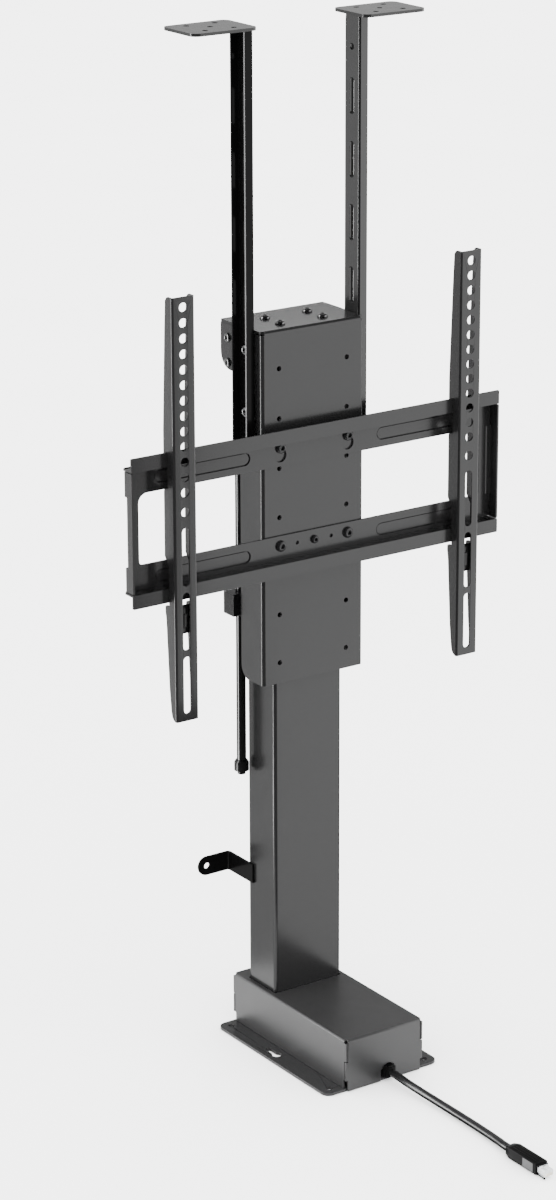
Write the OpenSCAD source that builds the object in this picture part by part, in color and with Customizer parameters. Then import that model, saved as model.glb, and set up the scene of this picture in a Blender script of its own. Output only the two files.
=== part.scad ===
// Screen lift column with hooked screen arms, crossbar, lid bars and a corded base.
// Frame: origin on the underside of the base plate, in the middle of its four fixing holes.
// X runs across the lift, Y runs to the back, Z runs up. The screen side faces -Y. Unit: mm.

/* [Base] */
// Width of the base plate over its two fixing flanges
base_w = 139; // [136:1:150]
// Length of the base plate, front to back
base_l = 197; // [180:1:220]
// Distance from the side edge of the base plate to its fixing holes
hole_inset_x = 11; // [9:0.5:13]
// Distance from the front and rear edges of the base plate to its fixing holes
hole_inset_y = 10.5; // [8:0.5:16]
// Diameter of the fixing holes
base_hole_d = 6.5; // [5:0.5:8]
// Gap between the column and the side walls of the housing
housing_side_gap = 6.5; // [6:0.5:8]
// Height of the top of the housing above the floor
housing_top = 56; // [54:1:60]

/* [Column] */
// Outside width of the fixed column tube
col_w = 81.5; // [76:0.5:86]
// Outside depth of the fixed column tube
col_d = 48; // [44:1:52]
// Height of the top of the fixed column tube
col_top = 738; // [720:2:800]
// Travel of each of the two lifting stages
stage_travel = 350; // [250:10:360]

/* [Carriage] */
// How far the carriage plate stands out beyond each side of the column
plate_overhang = 19.5; // [19:0.5:22]
// Height of the carriage plate
plate_h = 360; // [325:1:395]
// Depth of the side flanges of the carriage plate
flange_d = 38; // [30:1:40]
// Distance between the two columns of holes in the carriage plate
grid_dx = 80; // [75:1:84]

/* [Crossbar and arms] */
// Width of the crossbar
bar_w = 436; // [400:2:480]
// Distance from the cap down to the middle of the crossbar
bar_drop = 170.9; // [165:0.1:180]
// Height of the crossbar without its lips
tray_h = 125; // [123:1:129]
// Depth of the crossbar tray
tray_d = 14.5; // [13.5:0.5:15]
// Height of the lips above and below the tray
lip_h = 12; // [10:0.5:14]
// Width of a screen arm
arm_w = 25.5; // [24:0.5:30]
// Height of a screen arm
arm_h = 420; // [380:1:460]
// Distance from the left end of the crossbar to the middle of the left arm
arm_left_inset = 52.5; // [40:0.5:70]
// Distance from the right end of the crossbar to the middle of the right arm
arm_right_inset = 46; // [40:0.5:70]

/* [Lid bars] */
// Height of the lid plates above the cap of the carriage
lid_rise = 293; // [270:1:320]
// Width of a lid plate
lid_w = 73; // [60:1:90]
// Depth of a lid plate
lid_d = 56; // [52:1:80]

/* [Cord] */
// Diameter of the control cord
cord_d = 8; // [6:0.5:8.5]

/* [Hidden] */
$fn = 48;
plate_t = 3;
sheet_t = 2;
carriage_t = 2.5;
// Gap left round a piece that slides on another
slide_gap = 0.3;
// Radial clearance of a turning bore
run_gap = 0.05;
// Small overshoot of a cutting tool
eps = 0.5;

base_hole_dx = base_w - 2 * hole_inset_x;
base_hole_dy = base_l - 2 * hole_inset_y;
housing_w = col_w + 2 * housing_side_gap;
col_y = base_l / 2 - 41.5;
col_x0 = -col_w / 2;
col_y0 = col_y - col_d / 2;
col_y1 = col_y + col_d / 2;
plate_y = col_y0 - 9;
tube_t = 2;
stage_step = 5;
mid_w = col_w - 2 * stage_step;
mid_d = col_d - 2 * stage_step;
inner_w = mid_w - 2 * stage_step;
inner_d = mid_d - 2 * stage_step;

cap_top = col_top + 17;
head_z0 = cap_top - carriage_t - 10;
plate_z0 = cap_top - plate_h;
plate_w = col_w + 2 * plate_overhang;
plate_half = plate_w / 2;
cap_y1 = col_y1 + 13;
ear_x = plate_half + 3.25;
ear_y1 = cap_y1 - 4;
ear_y0 = ear_y1 - 26;
ear_z0 = cap_top - 47;
hole_top_z = cap_top - 38.5;
hole_pitch = 50;
hole_steps = floor((plate_h - 50.5) / hole_pitch);

// Crossbar levels
bar_mid_z = cap_top - bar_drop;
tray_z0 = bar_mid_z - tray_h / 2;
tray_z1 = bar_mid_z + tray_h / 2;
bar_y0 = plate_y - tray_d;
bar_screw_x = grid_dx / 2;
bar_screw_top = tray_z1 - 8.6;
bar_screw_low = tray_z0 + 16.4;
pilot_x = 20.3;
window_z0 = tray_z0 + 26.5;
window_z1 = tray_z1 - 27.5;
window_half = bar_w / 2 - 15;

// Arm levels
arm_bend = 2.2;
arm_y0 = bar_y0 - 11.5;
arm_top = cap_top + 55;
arm_bottom = arm_top - arm_h;
arm_left_x = -(bar_w / 2 - arm_left_inset);
arm_right_x = bar_w / 2 - arm_right_inset;
arm_slot_pitch = 64.6;
arm_slot_steps = floor((arm_h - 289.4) / arm_slot_pitch);

// Lid bars
web_x = plate_half + 0.75;
lid_bar_y0 = plate_y + 10;
lid_bar_d = 25;
lid_flange = 10;
slot_y = lid_bar_y0 + lid_bar_d / 2;
slot_l = 36;
slot_w = 7;
slot_pitch = 62;
slot_top = cap_top - 17.5;
lid_screw_z = slot_top - slot_w / 2;
lid_bar_bottom = slot_top - slot_pitch - slot_l - 13.5;
lid_top = cap_top + lid_rise;
lid_bar_top = lid_top - plate_t;
slots_above = floor((lid_bar_top - slot_top - 50) / slot_pitch);

// Guide rods
rod_x = plate_half - 9.25;
rod_y = ear_y1 - 13;
rod_d = 9.6;
rod_z0 = plate_z0 - 106;
block_z0 = plate_z0 + 61.5;
block_h = 23;

// Drive
upper_r = inner_d / 2 - tube_t - 2;
spindle_r = upper_r - 3;
journal_r = spindle_r - 1;
bearing_r = spindle_r + 6;
wheel_r = 13.8;
worm_r = 4.8;
mesh_gap = 0.4;
worm_x = -(wheel_r + worm_r + mesh_gap);
worm_z = 20;
motor_r = 15.5;
motor_gap = 31;
gear_z1 = 30;
lid_z1 = housing_top - 8;
bearing_z0 = lid_z1 - 12;
bearing_h = 10;
seat_z = lid_z1 - 1.9;
nut_z0 = housing_top + 6;
nut_h = 24;
retainer_h = 11;
upper_z0 = nut_z0 + nut_h + 2.3;
inner_z0 = nut_z0 + nut_h + retainer_h + 8;
spindle_top = nut_z0 + stage_travel + nut_h + 34;
upper_top = inner_z0 + stage_travel + nut_h + 41;

// Cord
cord_r = cord_d / 2;
cord_x = 5;
cord_z = 10;
gland_front = -base_l / 2 - 7.5;
plug_x = 6.5;
plug_z = 5.5;
plug_back = gland_front - 190;
cord_route = [
    [cord_x, gland_front, cord_z],
    [cord_x, gland_front - 8, cord_z],
    [6, gland_front - 34, 8],
    [9, gland_front - 74, 5.4],
    [10, gland_front - 109, 4.6],
    [9.5, gland_front - 144, 4.6],
    [8, gland_front - 170, 5],
    [plug_x, plug_back + 8, plug_z],
    [plug_x, plug_back, plug_z]
];
cord_sides = 10;
rings_per_leg = 3;

steel = [0.36, 0.36, 0.37];
dark = [0.12, 0.12, 0.13];
bright = [0.7, 0.7, 0.72];
plastic = [0.2, 0.2, 0.21];

// Shared shapes

// A box given by its two corners
module span(a, b) {
    translate(a) cube([b[0] - a[0], b[1] - a[1], b[2] - a[2]]);
}

// A plate in XY with four round corners
module round_plate(a, b, r) {
    span([a[0] + r, a[1], a[2]], [b[0] - r, b[1], b[2]]);
    span([a[0], a[1] + r, a[2]], [b[0], b[1] - r, b[2]]);
    for (x = [a[0] + r, b[0] - r], y = [a[1] + r, b[1] - r])
        translate([x, y, a[2]]) cylinder(r = r, h = b[2] - a[2]);
}

// A quarter of a bent sheet, its centre at the origin, opening to +X and +Y, along Z
module quarter_bend(r, t, h) {
    intersection() {
        difference() {
            cylinder(r = r, h = h);
            translate([0, 0, -eps]) cylinder(r = r - t, h = h + 2 * eps);
        }
        cube([r + 1, r + 1, h]);
    }
}

// A rectangular tube round the column axis with round outer corners
module box_tube(w, d, t, z0, z1, r) {
    difference() {
        round_plate([-w / 2, col_y - d / 2, z0], [w / 2, col_y + d / 2, z1], r);
        span([-w / 2 + t, col_y - d / 2 + t, z0 - eps], [w / 2 - t, col_y + d / 2 - t, z1 + eps]);
    }
}

// A ring between two rectangles round the column axis
module box_ring(w, d, hole_w, hole_d, z0, z1) {
    difference() {
        span([-w / 2, col_y - d / 2, z0], [w / 2, col_y + d / 2, z1]);
        span([-hole_w / 2, col_y - hole_d / 2, z0 - eps], [hole_w / 2, col_y + hole_d / 2, z1 + eps]);
    }
}

// A block inside a tube with a round bore on the column axis
module bored_block(w, d, z0, z1, bore_r) {
    difference() {
        span([-w / 2, col_y - d / 2, z0], [w / 2, col_y + d / 2, z1]);
        translate([0, col_y, z0 - eps]) cylinder(r = bore_r, h = z1 - z0 + 2 * eps);
    }
}

// A button head screw pointing down -Z, the underside of its head at the origin
module button_screw(head_r, head_h, shank_r, shank_l) {
    difference() {
        union() {
            cylinder(r = head_r, h = head_h * 0.35);
            translate([0, 0, head_h * 0.35]) cylinder(r1 = head_r, r2 = head_r * 0.62, h = head_h * 0.65);
            translate([0, 0, -shank_l]) cylinder(r = shank_r, h = shank_l);
        }
        translate([0, 0, head_h * 0.35]) cylinder(r = head_r * 0.42, h = head_h, $fn = 6);
    }
}

// A slot through a sheet along Y, round ends, standing upright
module upright_slot(x, z0, z1, w, y0, y1) {
    span([x - w / 2, y0, z0 + w / 2], [x + w / 2, y1, z1 - w / 2]);
    for (z = [z0 + w / 2, z1 - w / 2])
        translate([x, y0, z]) rotate([-90, 0, 0]) cylinder(r = w / 2, h = y1 - y0);
}

// A lying slot through a sheet along Y, round ends
module lying_slot(x0, x1, z, w, y0, y1) {
    span([x0 + w / 2, y0, z - w / 2], [x1 - w / 2, y1, z + w / 2]);
    for (x = [x0 + w / 2, x1 - w / 2])
        translate([x, y0, z]) rotate([-90, 0, 0]) cylinder(r = w / 2, h = y1 - y0);
}

module mirrored(side) {
    if (side < 0) mirror([1, 0, 0]) children();
    else children();
}

// Base

module base_plate() color(steel) {
    keyhole_y = 5;
    difference() {
        union() {
            round_plate([-base_w / 2, -base_l / 2, 0], [base_w / 2, base_l / 2, plate_t], 9);
            for (s = [-1, 1]) mirrored(s)
                span([housing_w / 2 - 28, base_l / 2 - slide_gap - sheet_t, plate_t - eps],
                    [housing_w / 2 - 12, base_l / 2 - slide_gap, 22]);
        }
        for (x = [-1, 1], y = [-1, 1])
            translate([x * base_hole_dx / 2, y * base_hole_dy / 2, -eps])
                cylinder(d = base_hole_d, h = plate_t + 2 * eps);
        for (x = [-1, 1]) {
            translate([x * base_hole_dx / 2, keyhole_y, -eps]) cylinder(r = 5, h = plate_t + 2 * eps);
            translate([x * base_hole_dx / 2, keyhole_y + 14, -eps]) cylinder(r = 2.6, h = plate_t + 2 * eps);
            span([x * base_hole_dx / 2 - 2.6, keyhole_y, -eps],
                [x * base_hole_dx / 2 + 2.6, keyhole_y + 14, plate_t + eps]);
        }
        for (x = [-1, 1])
            translate([x * (housing_w / 2 - 20), base_l / 2 - 6, 14]) rotate([-90, 0, 0])
                cylinder(r = 1.6, h = 8);
        for (x = [-1, 1], y = foot_hole_y)
            translate([x * foot_hole_x, y, -eps]) cylinder(r = 2.6, h = plate_t + 2 * eps);
        for (x = gearbox_hole_x, y = gearbox_hole_y)
            translate([x, y, -eps]) cylinder(r = 2.1, h = plate_t + 2 * eps);
        for (x = clamp_hole_x)
            translate([x, clamp_y, -eps]) cylinder(r = 1.6, h = plate_t + 2 * eps);
    }
}

foot_hole_x = col_w / 2 - 0.5;
foot_hole_y = [col_y0 - 5.5, col_y1 + 5.5];
gear_x0 = worm_x - 10;
gear_x1 = wheel_r + 8.7;
gear_half = col_d / 2 - tube_t - 1.5;
gear_y0 = col_y - gear_half;
gear_y1 = col_y + gear_half;
gearbox_hole_x = [gear_x0 + 3.3, gear_x1 - 3.5];
gearbox_hole_y = [gear_y0 + 3.2, gear_y1 - 3.2];
clamp_hole_x = [worm_x - motor_r - 4.5, worm_x + motor_r + 4.5];
clamp_y = col_y - 87;

// Folded cover with finger seams at its four upright corners
module base_housing() color(steel) {
    hw = housing_w / 2;
    hl = base_l / 2 + sheet_t;
    bend = 2.5;
    difference() {
        union() {
            span([-hw + bend, -hl + bend, housing_top - sheet_t], [hw - bend, hl - bend, housing_top]);
            for (s = [-1, 1]) {
                mirrored(s) span([hw - sheet_t, -hl, plate_t], [hw, hl, housing_top - bend]);
                mirrored(s) translate([hw - bend, hl - bend, housing_top - bend]) rotate([90, 0, 0])
                    quarter_bend(bend, sheet_t, 2 * hl - 2 * bend);
            }
            for (s = [-1, 1]) scale([1, s, 1]) {
                span([-hw, hl - sheet_t, slide_gap], [hw, hl, housing_top - bend]);
                translate([-hw + bend, hl - bend, housing_top - bend]) rotate([90, 0, 90])
                    quarter_bend(bend, sheet_t, 2 * hw - 2 * bend);
            }
        }
        for (sx = [-1, 1], sy = [-1, 1]) scale([sx, sy, 1]) corner_seam(hw, hl);
        span([-col_w / 2 - 0.2, col_y0 - 0.2, housing_top - 3], [col_w / 2 + 0.2, col_y1 + 0.2, housing_top + eps]);
        span([cord_x - 9, -hl - eps, -eps], [cord_x + 9, -hl + sheet_t + eps, 13]);
        translate([cord_x, -hl - eps, 11]) rotate([-90, 0, 0]) cylinder(r = 7.5, h = sheet_t + 2 * eps);
        for (x = [-1, 1])
            translate([x * (hw - 20), hl - sheet_t - eps, 14]) rotate([-90, 0, 0])
                cylinder(r = 1.8, h = sheet_t + 2 * eps);
    }
}

// Seam of one upright corner: open foot, tab of the end panel, finger of the side wall, relief
module corner_seam(hw, hl) {
    seam = 0.9;
    foot_z = 12;
    step_z = 33;
    inner = hw - sheet_t;
    span([inner - seam, hl - 4.5, -eps], [hw + eps, hl + eps, foot_z]);
    span([inner - eps, hl - sheet_t - seam, foot_z - eps], [hw + eps, hl - sheet_t, step_z]);
    span([inner - seam, hl - sheet_t - seam, step_z - seam], [hw + eps, hl + eps, step_z]);
    span([inner - seam, hl - sheet_t - eps, step_z - eps], [inner, hl + eps, housing_top - 2]);
    span([inner - seam, hl - 3.4, housing_top - 3.4], [hw + eps, hl + eps, housing_top + eps]);
}

module housing_screws() color(dark)
    for (x = [-1, 1])
        translate([x * (housing_w / 2 - 20), base_l / 2 + sheet_t, 14]) rotate([-90, 0, 0])
            button_screw(3.2, 2, 1.5, 9);

module outer_column() color(steel)
    difference() {
        box_tube(col_w, col_d, tube_t, plate_t, col_top, 3.5);
        span([worm_x - 14, col_y0 - eps, plate_t - eps], [worm_x + 14, col_y0 + tube_t + eps, 42]);
    }

module column_foot() color(steel)
    difference() {
        span([-housing_w / 2 + sheet_t + 0.5, col_y0 - 11, plate_t], [housing_w / 2 - sheet_t - 0.5, col_y1 + 11, plate_t + 4]);
        span([-col_w / 2, col_y0, plate_t - eps], [col_w / 2, col_y1, plate_t + 4 + eps]);
        span([worm_x - 14, col_y0 - 20, plate_t - eps], [worm_x + 14, col_y0 + eps, plate_t + 4 + eps]);
        for (x = [-1, 1], y = foot_hole_y)
            translate([x * foot_hole_x, y, 0]) cylinder(r = 2.6, h = 12);
    }

module foot_screws() color(dark)
    for (x = [-1, 1], y = foot_hole_y)
        translate([x * foot_hole_x, y, plate_t + 4]) button_screw(4, 2.5, 2.5, 6);

// Plastic bezel on the upper end of the fixed tube
module column_collar() color(plastic)
    difference() {
        round_plate([-col_w / 2, col_y0, col_top], [col_w / 2, col_y1, col_top + 3], 3.5);
        span([-mid_w / 2 - 0.5, col_y - mid_d / 2 - 0.5, col_top - eps],
            [mid_w / 2 + 0.5, col_y + mid_d / 2 + 0.5, col_top + 3 + eps]);
    }

module column_glide() color(plastic)
    box_ring(col_w - 2 * tube_t, col_d - 2 * tube_t, mid_w + 0.3, mid_d + 0.3, col_top - 38, col_top);

module wall_bracket() color(steel) {
    z0 = 165;
    h = 20.3;
    t = 2.5;
    bend = 4;
    back = col_y + 60;
    x0 = col_x0;
    end_x = x0 - 38.75;
    difference() {
        union() {
            span([x0 - t, col_y1 - 11, z0], [x0, back - bend, z0 + h]);
            translate([x0 - bend, back - bend, z0]) quarter_bend(bend, t, h);
            span([end_x + h / 2, back - t, z0], [x0 - bend, back, z0 + h]);
            translate([end_x + h / 2, back, z0 + h / 2]) rotate([90, 0, 0]) cylinder(r = h / 2, h = t);
        }
        translate([end_x + 10.3, back + eps, z0 + h / 2]) rotate([90, 0, 0]) cylinder(r = 3.3, h = t + 2 * eps);
    }
}

// Cord strain relief in the notch of the front panel
module cable_gland() color(plastic) {
    hl = base_l / 2 + sheet_t;
    difference() {
        union() {
            span([cord_x - 6.5, -hl - 1.5, 3.5], [cord_x + 6.5, -hl, 16.5]);
            span([cord_x - 5, -hl - eps, 4.5], [cord_x + 5, -hl + sheet_t + eps, 15.5]);
            span([cord_x - 6.5, -hl + sheet_t, 3.5], [cord_x + 6.5, -hl + sheet_t + 3, 16.5]);
            translate([cord_x, gland_front, cord_z]) rotate([-90, 0, 0])
                cylinder(r1 = cord_r + 1.4, r2 = cord_r + 2.4, h = -hl - 1.5 - gland_front + eps);
        }
        translate([cord_x, -hl + sheet_t + 2, cord_z]) rotate([-90, 0, 0]) cylinder(r = cord_r, h = 4);
    }
}

// Functions that sweep the cord along its route
function mix3(a, b, t) = a + (b - a) * t;
function route_point(i) = cord_route[max(0, min(len(cord_route) - 1, i))];
function curve_point(i, t) = let (p0 = route_point(i - 1), p1 = route_point(i), p2 = route_point(i + 1), p3 = route_point(i + 2))
    0.5 * (2 * p1 + (p2 - p0) * t + (2 * p0 - 5 * p1 + 4 * p2 - p3) * t * t + (3 * p1 - p0 - 3 * p2 + p3) * t * t * t);
function leg_points(i) = [for (k = [0:rings_per_leg - 1])
    (i == 0 || i == len(cord_route) - 2) ? mix3(cord_route[i], cord_route[i + 1], k / rings_per_leg)
        : curve_point(i, k / rings_per_leg)];
cord_line = concat([for (i = [0:len(cord_route) - 2]) each leg_points(i)], [cord_route[len(cord_route) - 1]]);
function unit(v) = v / norm(v);
function line_dir(i) = i == 0 || i == len(cord_line) - 1 ? [0, -1, 0] : unit(cord_line[i + 1] - cord_line[i - 1]);
function side_dir(d) = unit(cross(d, [0, 0, 1]));
function ring_point(i, k) = let (d = line_dir(i), s = side_dir(d), u = cross(s, d), a = 360 * k / cord_sides)
    cord_line[i] + cord_r * (cos(a) * s + sin(a) * u);

module control_cord() color(dark) {
    n = len(cord_line);
    points = [for (i = [0:n - 1], k = [0:cord_sides - 1]) ring_point(i, k)];
    walls = [for (i = [0:n - 2], k = [0:cord_sides - 1])
        [i * cord_sides + k, i * cord_sides + (k + 1) % cord_sides,
            (i + 1) * cord_sides + (k + 1) % cord_sides, (i + 1) * cord_sides + k]];
    start = [[for (k = [cord_sides - 1:-1:0]) k]];
    finish = [[for (k = [0:cord_sides - 1]) (n - 1) * cord_sides + k]];
    polyhedron(points, concat(walls, start, finish));
}

module cord_plug() color(plastic) {
    body_back = plug_back - 9;
    body_front = plug_back - 44;
    difference() {
        union() {
            span([plug_x - 7.2, body_front, plug_z - 5.3], [plug_x + 7.2, body_back, plug_z + 5.3]);
            translate([plug_x, body_back - eps, plug_z]) rotate([-90, 0, 0])
                cylinder(r = cord_r + 0.5, h = plug_back - body_back + eps);
        }
        span([plug_x - 5.9, body_front - eps, plug_z - 4.1], [plug_x + 5.9, body_front + 4, plug_z + 4.1]);
        span([plug_x - 7.2 - eps, body_front + 3, plug_z - 5.3 - eps], [plug_x - 6.8, body_front + 17, plug_z + 4]);
    }
}

// Clear connector with its latch
module plug_insert() color(bright) {
    y0 = plug_back - 44 - 18;
    y1 = plug_back - 44 + 4;
    span([plug_x - 5.9, y0, plug_z - 4.1], [plug_x + 5.9, y1, plug_z + 3]);
    span([plug_x - 5.9, y0 + 12, plug_z + 3 - 0.2], [plug_x + 5.9, y1, plug_z + 4.1]);
    span([plug_x - 2.5, y0 + 3, plug_z + 4.1 - 0.2], [plug_x + 2.5, y0 + 14, plug_z + 5.1]);
    span([plug_x - 2.5, y0 + 1, plug_z + 3 - 0.2], [plug_x + 2.5, y0 + 4, plug_z + 5.1]);
}

// Drive in the base

module motor() color(steel) {
    y0 = -base_l / 2 + 28.5;
    y1 = col_y - motor_gap;
    difference() {
        union() {
            translate([worm_x, y0, worm_z]) rotate([-90, 0, 0]) cylinder(r = motor_r, h = y1 - y0);
            translate([worm_x, y0 - 3, worm_z]) rotate([-90, 0, 0]) cylinder(r = 6, h = 4);
        }
        translate([worm_x, y1 - 24, worm_z]) rotate([-90, 0, 0]) cylinder(r = 3 + run_gap, h = 30);
    }
}

// Strap that holds the motor on the base plate
module motor_clamp() color(steel)
    difference() {
        union() {
            intersection() {
                translate([worm_x, clamp_y - 8, worm_z]) rotate([-90, 0, 0]) cylinder(r = motor_r + 2, h = 16);
                span([worm_x - 30, clamp_y - 9, worm_z], [worm_x + 30, clamp_y + 9, 60]);
            }
            for (s = [-1, 1])
                translate([worm_x, 0, 0]) scale([s, 1, 1])
                    span([motor_r, clamp_y - 8, plate_t], [motor_r + 2, clamp_y + 8, worm_z]);
            for (s = [-1, 1])
                translate([worm_x, 0, 0]) scale([s, 1, 1])
                    span([motor_r + 1, clamp_y - 8, plate_t], [motor_r + 7.5, clamp_y + 8, plate_t + 2]);
        }
        translate([worm_x, clamp_y - 9, worm_z]) rotate([-90, 0, 0]) cylinder(r = motor_r, h = 18);
        for (x = clamp_hole_x) translate([x, clamp_y, 0]) cylinder(r = 1.6, h = 10);
    }

module clamp_screws() color(dark)
    for (x = clamp_hole_x) translate([x, clamp_y, plate_t + 2]) button_screw(2.2, 2, 1.5, 4.5);

module gearbox_body() color(steel)
    difference() {
        union() {
            span([gear_x0, gear_y0, plate_t], [gear_x1, gear_y1, gear_z1]);
            span([worm_x - 12, col_y - motor_gap, 6], [worm_x + 12, gear_y0 + eps, 34]);
        }
        translate([0, col_y, 12]) cylinder(r = wheel_r + 0.8, h = 30);
        translate([0, col_y, 6]) cylinder(r = journal_r + run_gap, h = 10);
        translate([worm_x, col_y - 15, worm_z]) rotate([-90, 0, 0]) cylinder(r = worm_r + 0.5, h = 30);
        translate([worm_x, col_y - 32, worm_z]) rotate([-90, 0, 0]) cylinder(r = 3 + run_gap, h = 50);
        for (x = gearbox_hole_x, y = gearbox_hole_y) translate([x, y, 0]) cylinder(r = 2.1, h = 40);
    }

module gearbox_lid() color(steel)
    difference() {
        span([gear_x0, gear_y0, gear_z1], [gear_x1, gear_y1, lid_z1]);
        translate([0, col_y, gear_z1 - eps]) cylinder(r = journal_r + 0.5, h = 20);
        translate([0, col_y, bearing_z0]) cylinder(r = bearing_r, h = 20);
        span([gear_x0 - eps, gear_y0 - eps, gear_z1 - eps], [worm_x + 12 + slide_gap, gear_y0 + 0.8, 34.2]);
        for (x = gearbox_hole_x, y = gearbox_hole_y) translate([x, y, 20]) cylinder(r = 2.1, h = 40);
    }

module gearbox_screws() color(dark)
    for (x = gearbox_hole_x, y = gearbox_hole_y)
        translate([x, y, lid_z1]) button_screw(3.2, 2.2, 2, lid_z1 - 0.5);

module spindle_bearing() color(bright)
    difference() {
        translate([0, col_y, bearing_z0]) cylinder(r = bearing_r, h = bearing_h);
        translate([0, col_y, bearing_z0 - 1]) cylinder(r = journal_r + run_gap, h = 12);
        translate([0, col_y, bearing_z0 + bearing_h - 1]) difference() {
            cylinder(r = bearing_r - 2, h = 2);
            cylinder(r = spindle_r + 1.5, h = 2);
        }
    }

module control_board() color([0.1, 0.3, 0.18]) {
    x0 = 6;
    x1 = housing_w / 2 - 6;
    y0 = -base_l / 2 + 16.5;
    y1 = col_y - 52;
    span([x0, y0, 9], [x1, y1, 10.6]);
    for (x = [x0 + 4, x1 - 4], y = [y0 + 4, y1 - 4]) translate([x, y, plate_t]) cylinder(r = 2.6, h = 6.1);
    translate([x0 + 11, y0 + 24, 10.5]) cylinder(r = 7, h = 20);
    span([x0 + 20, y0 + 14, 10.5], [x0 + 30, y0 + 32, 26]);
    span([x0 + 5, y0 + 46, 10.5], [x0 + 17, y0 + 58, 13]);
    span([x0 + 20, y0 + 44, 10.5], [x1 - 3, y0 + 64, 24]);
    span([x0 + 4, y1 - 18, 10.5], [x0 + 20, y1 - 9, 20]);
}

module lower_spindle() color(bright) {
    translate([0, col_y, 6.3]) cylinder(r = journal_r, h = seat_z - 6.3 + eps);
    translate([0, col_y, seat_z]) cylinder(r = spindle_r, h = spindle_top - seat_z - 2);
    translate([0, col_y, spindle_top - 2 - 0.01]) cylinder(r1 = spindle_r, r2 = spindle_r - 1.5, h = 2);
}

module worm_wheel() color([0.6, 0.48, 0.2])
    difference() {
        translate([0, col_y, 14]) cylinder(r = wheel_r, h = 12);
        translate([0, col_y, 13]) cylinder(r = journal_r, h = 14);
        for (i = [0:19])
            translate([0, col_y, 13]) rotate([0, 0, 18 * i]) translate([wheel_r + 0.1, 0, 0])
                cylinder(r = 0.9, h = 14);
    }

module worm_shaft() color(bright) {
    translate([worm_x, col_y - 52, worm_z]) rotate([-90, 0, 0]) cylinder(r = 3, h = 69);
    translate([worm_x, col_y - 12, worm_z]) rotate([-90, 0, 0]) cylinder(r = worm_r, h = 24);
}

// Moving stages

module mid_tube() color(steel) box_tube(mid_w, mid_d, tube_t, nut_z0, col_top - 8, 2);

module mid_foot_glide() color(plastic)
    difference() {
        box_ring(col_w - 2 * tube_t - 0.3, col_d - 2 * tube_t - 0.3, mid_w - 4, mid_d - 4, nut_z0, nut_z0 + 30);
        round_plate([-mid_w / 2, col_y - mid_d / 2, nut_z0 - eps], [mid_w / 2, col_y + mid_d / 2, nut_z0 + 31], 2);
    }

module mid_top_glide() color(plastic)
    box_ring(mid_w - 2 * tube_t, mid_d - 2 * tube_t, inner_w + 0.3, inner_d + 0.3, col_top - 38, col_top - 8);

module lower_nut() color([0.6, 0.48, 0.2])
    bored_block(mid_w - 2 * tube_t, mid_d - 2 * tube_t, nut_z0, nut_z0 + nut_h, spindle_r + run_gap);

// Cup that keeps the foot of the upper spindle on the lower nut
module spindle_retainer() color(steel) {
    z0 = nut_z0 + nut_h;
    difference() {
        bored_block(mid_w - 2 * tube_t, mid_d - 2 * tube_t, z0, z0 + retainer_h, upper_r + slide_gap);
        translate([0, col_y, z0 - eps]) cylinder(r = upper_r + 3 + slide_gap, h = 6.6 + eps);
    }
}

module upper_spindle() color(bright)
    difference() {
        union() {
            translate([0, col_y, upper_z0]) cylinder(r = upper_r + 3, h = 4);
            translate([0, col_y, upper_z0]) cylinder(r = upper_r, h = upper_top - upper_z0);
        }
        translate([0, col_y, upper_z0 - eps]) cylinder(r = spindle_r + 0.4, h = upper_top);
    }

module inner_tube() color(steel) box_tube(inner_w, inner_d, tube_t, inner_z0, head_z0, 2);

module inner_foot_glide() color(plastic)
    difference() {
        box_ring(mid_w - 2 * tube_t - 0.3, mid_d - 2 * tube_t - 0.3, inner_w - 4, inner_d - 4, inner_z0, inner_z0 + 20);
        round_plate([-inner_w / 2, col_y - inner_d / 2, inner_z0 - eps],
            [inner_w / 2, col_y + inner_d / 2, inner_z0 + 21], 2);
    }

module upper_nut() color([0.6, 0.48, 0.2])
    bored_block(inner_w - 2 * tube_t, inner_d - 2 * tube_t, inner_z0, inner_z0 + nut_h, upper_r + run_gap);

cap_hole_x = inner_w / 2 - 5.75;
cap_hole_y = inner_d / 2 - 1;

// Block welded on the inner tube that takes the cap screws
module inner_head() color(steel)
    difference() {
        span([-inner_w / 2 - 6, col_y - inner_d / 2 - 6, head_z0], [inner_w / 2 + 6, col_y + inner_d / 2 + 6, head_z0 + 10]);
        for (x = [-1, 1], y = [-1, 1])
            translate([x * cap_hole_x, col_y + y * cap_hole_y, head_z0 - eps]) cylinder(r = 3, h = 12);
    }

module cap_screws() color(dark)
    for (x = [-1, 1], y = [-1, 1])
        translate([x * cap_hole_x, col_y + y * cap_hole_y, cap_top]) button_screw(5.2, 3.2, 3, 12);

// Carriage

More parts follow.
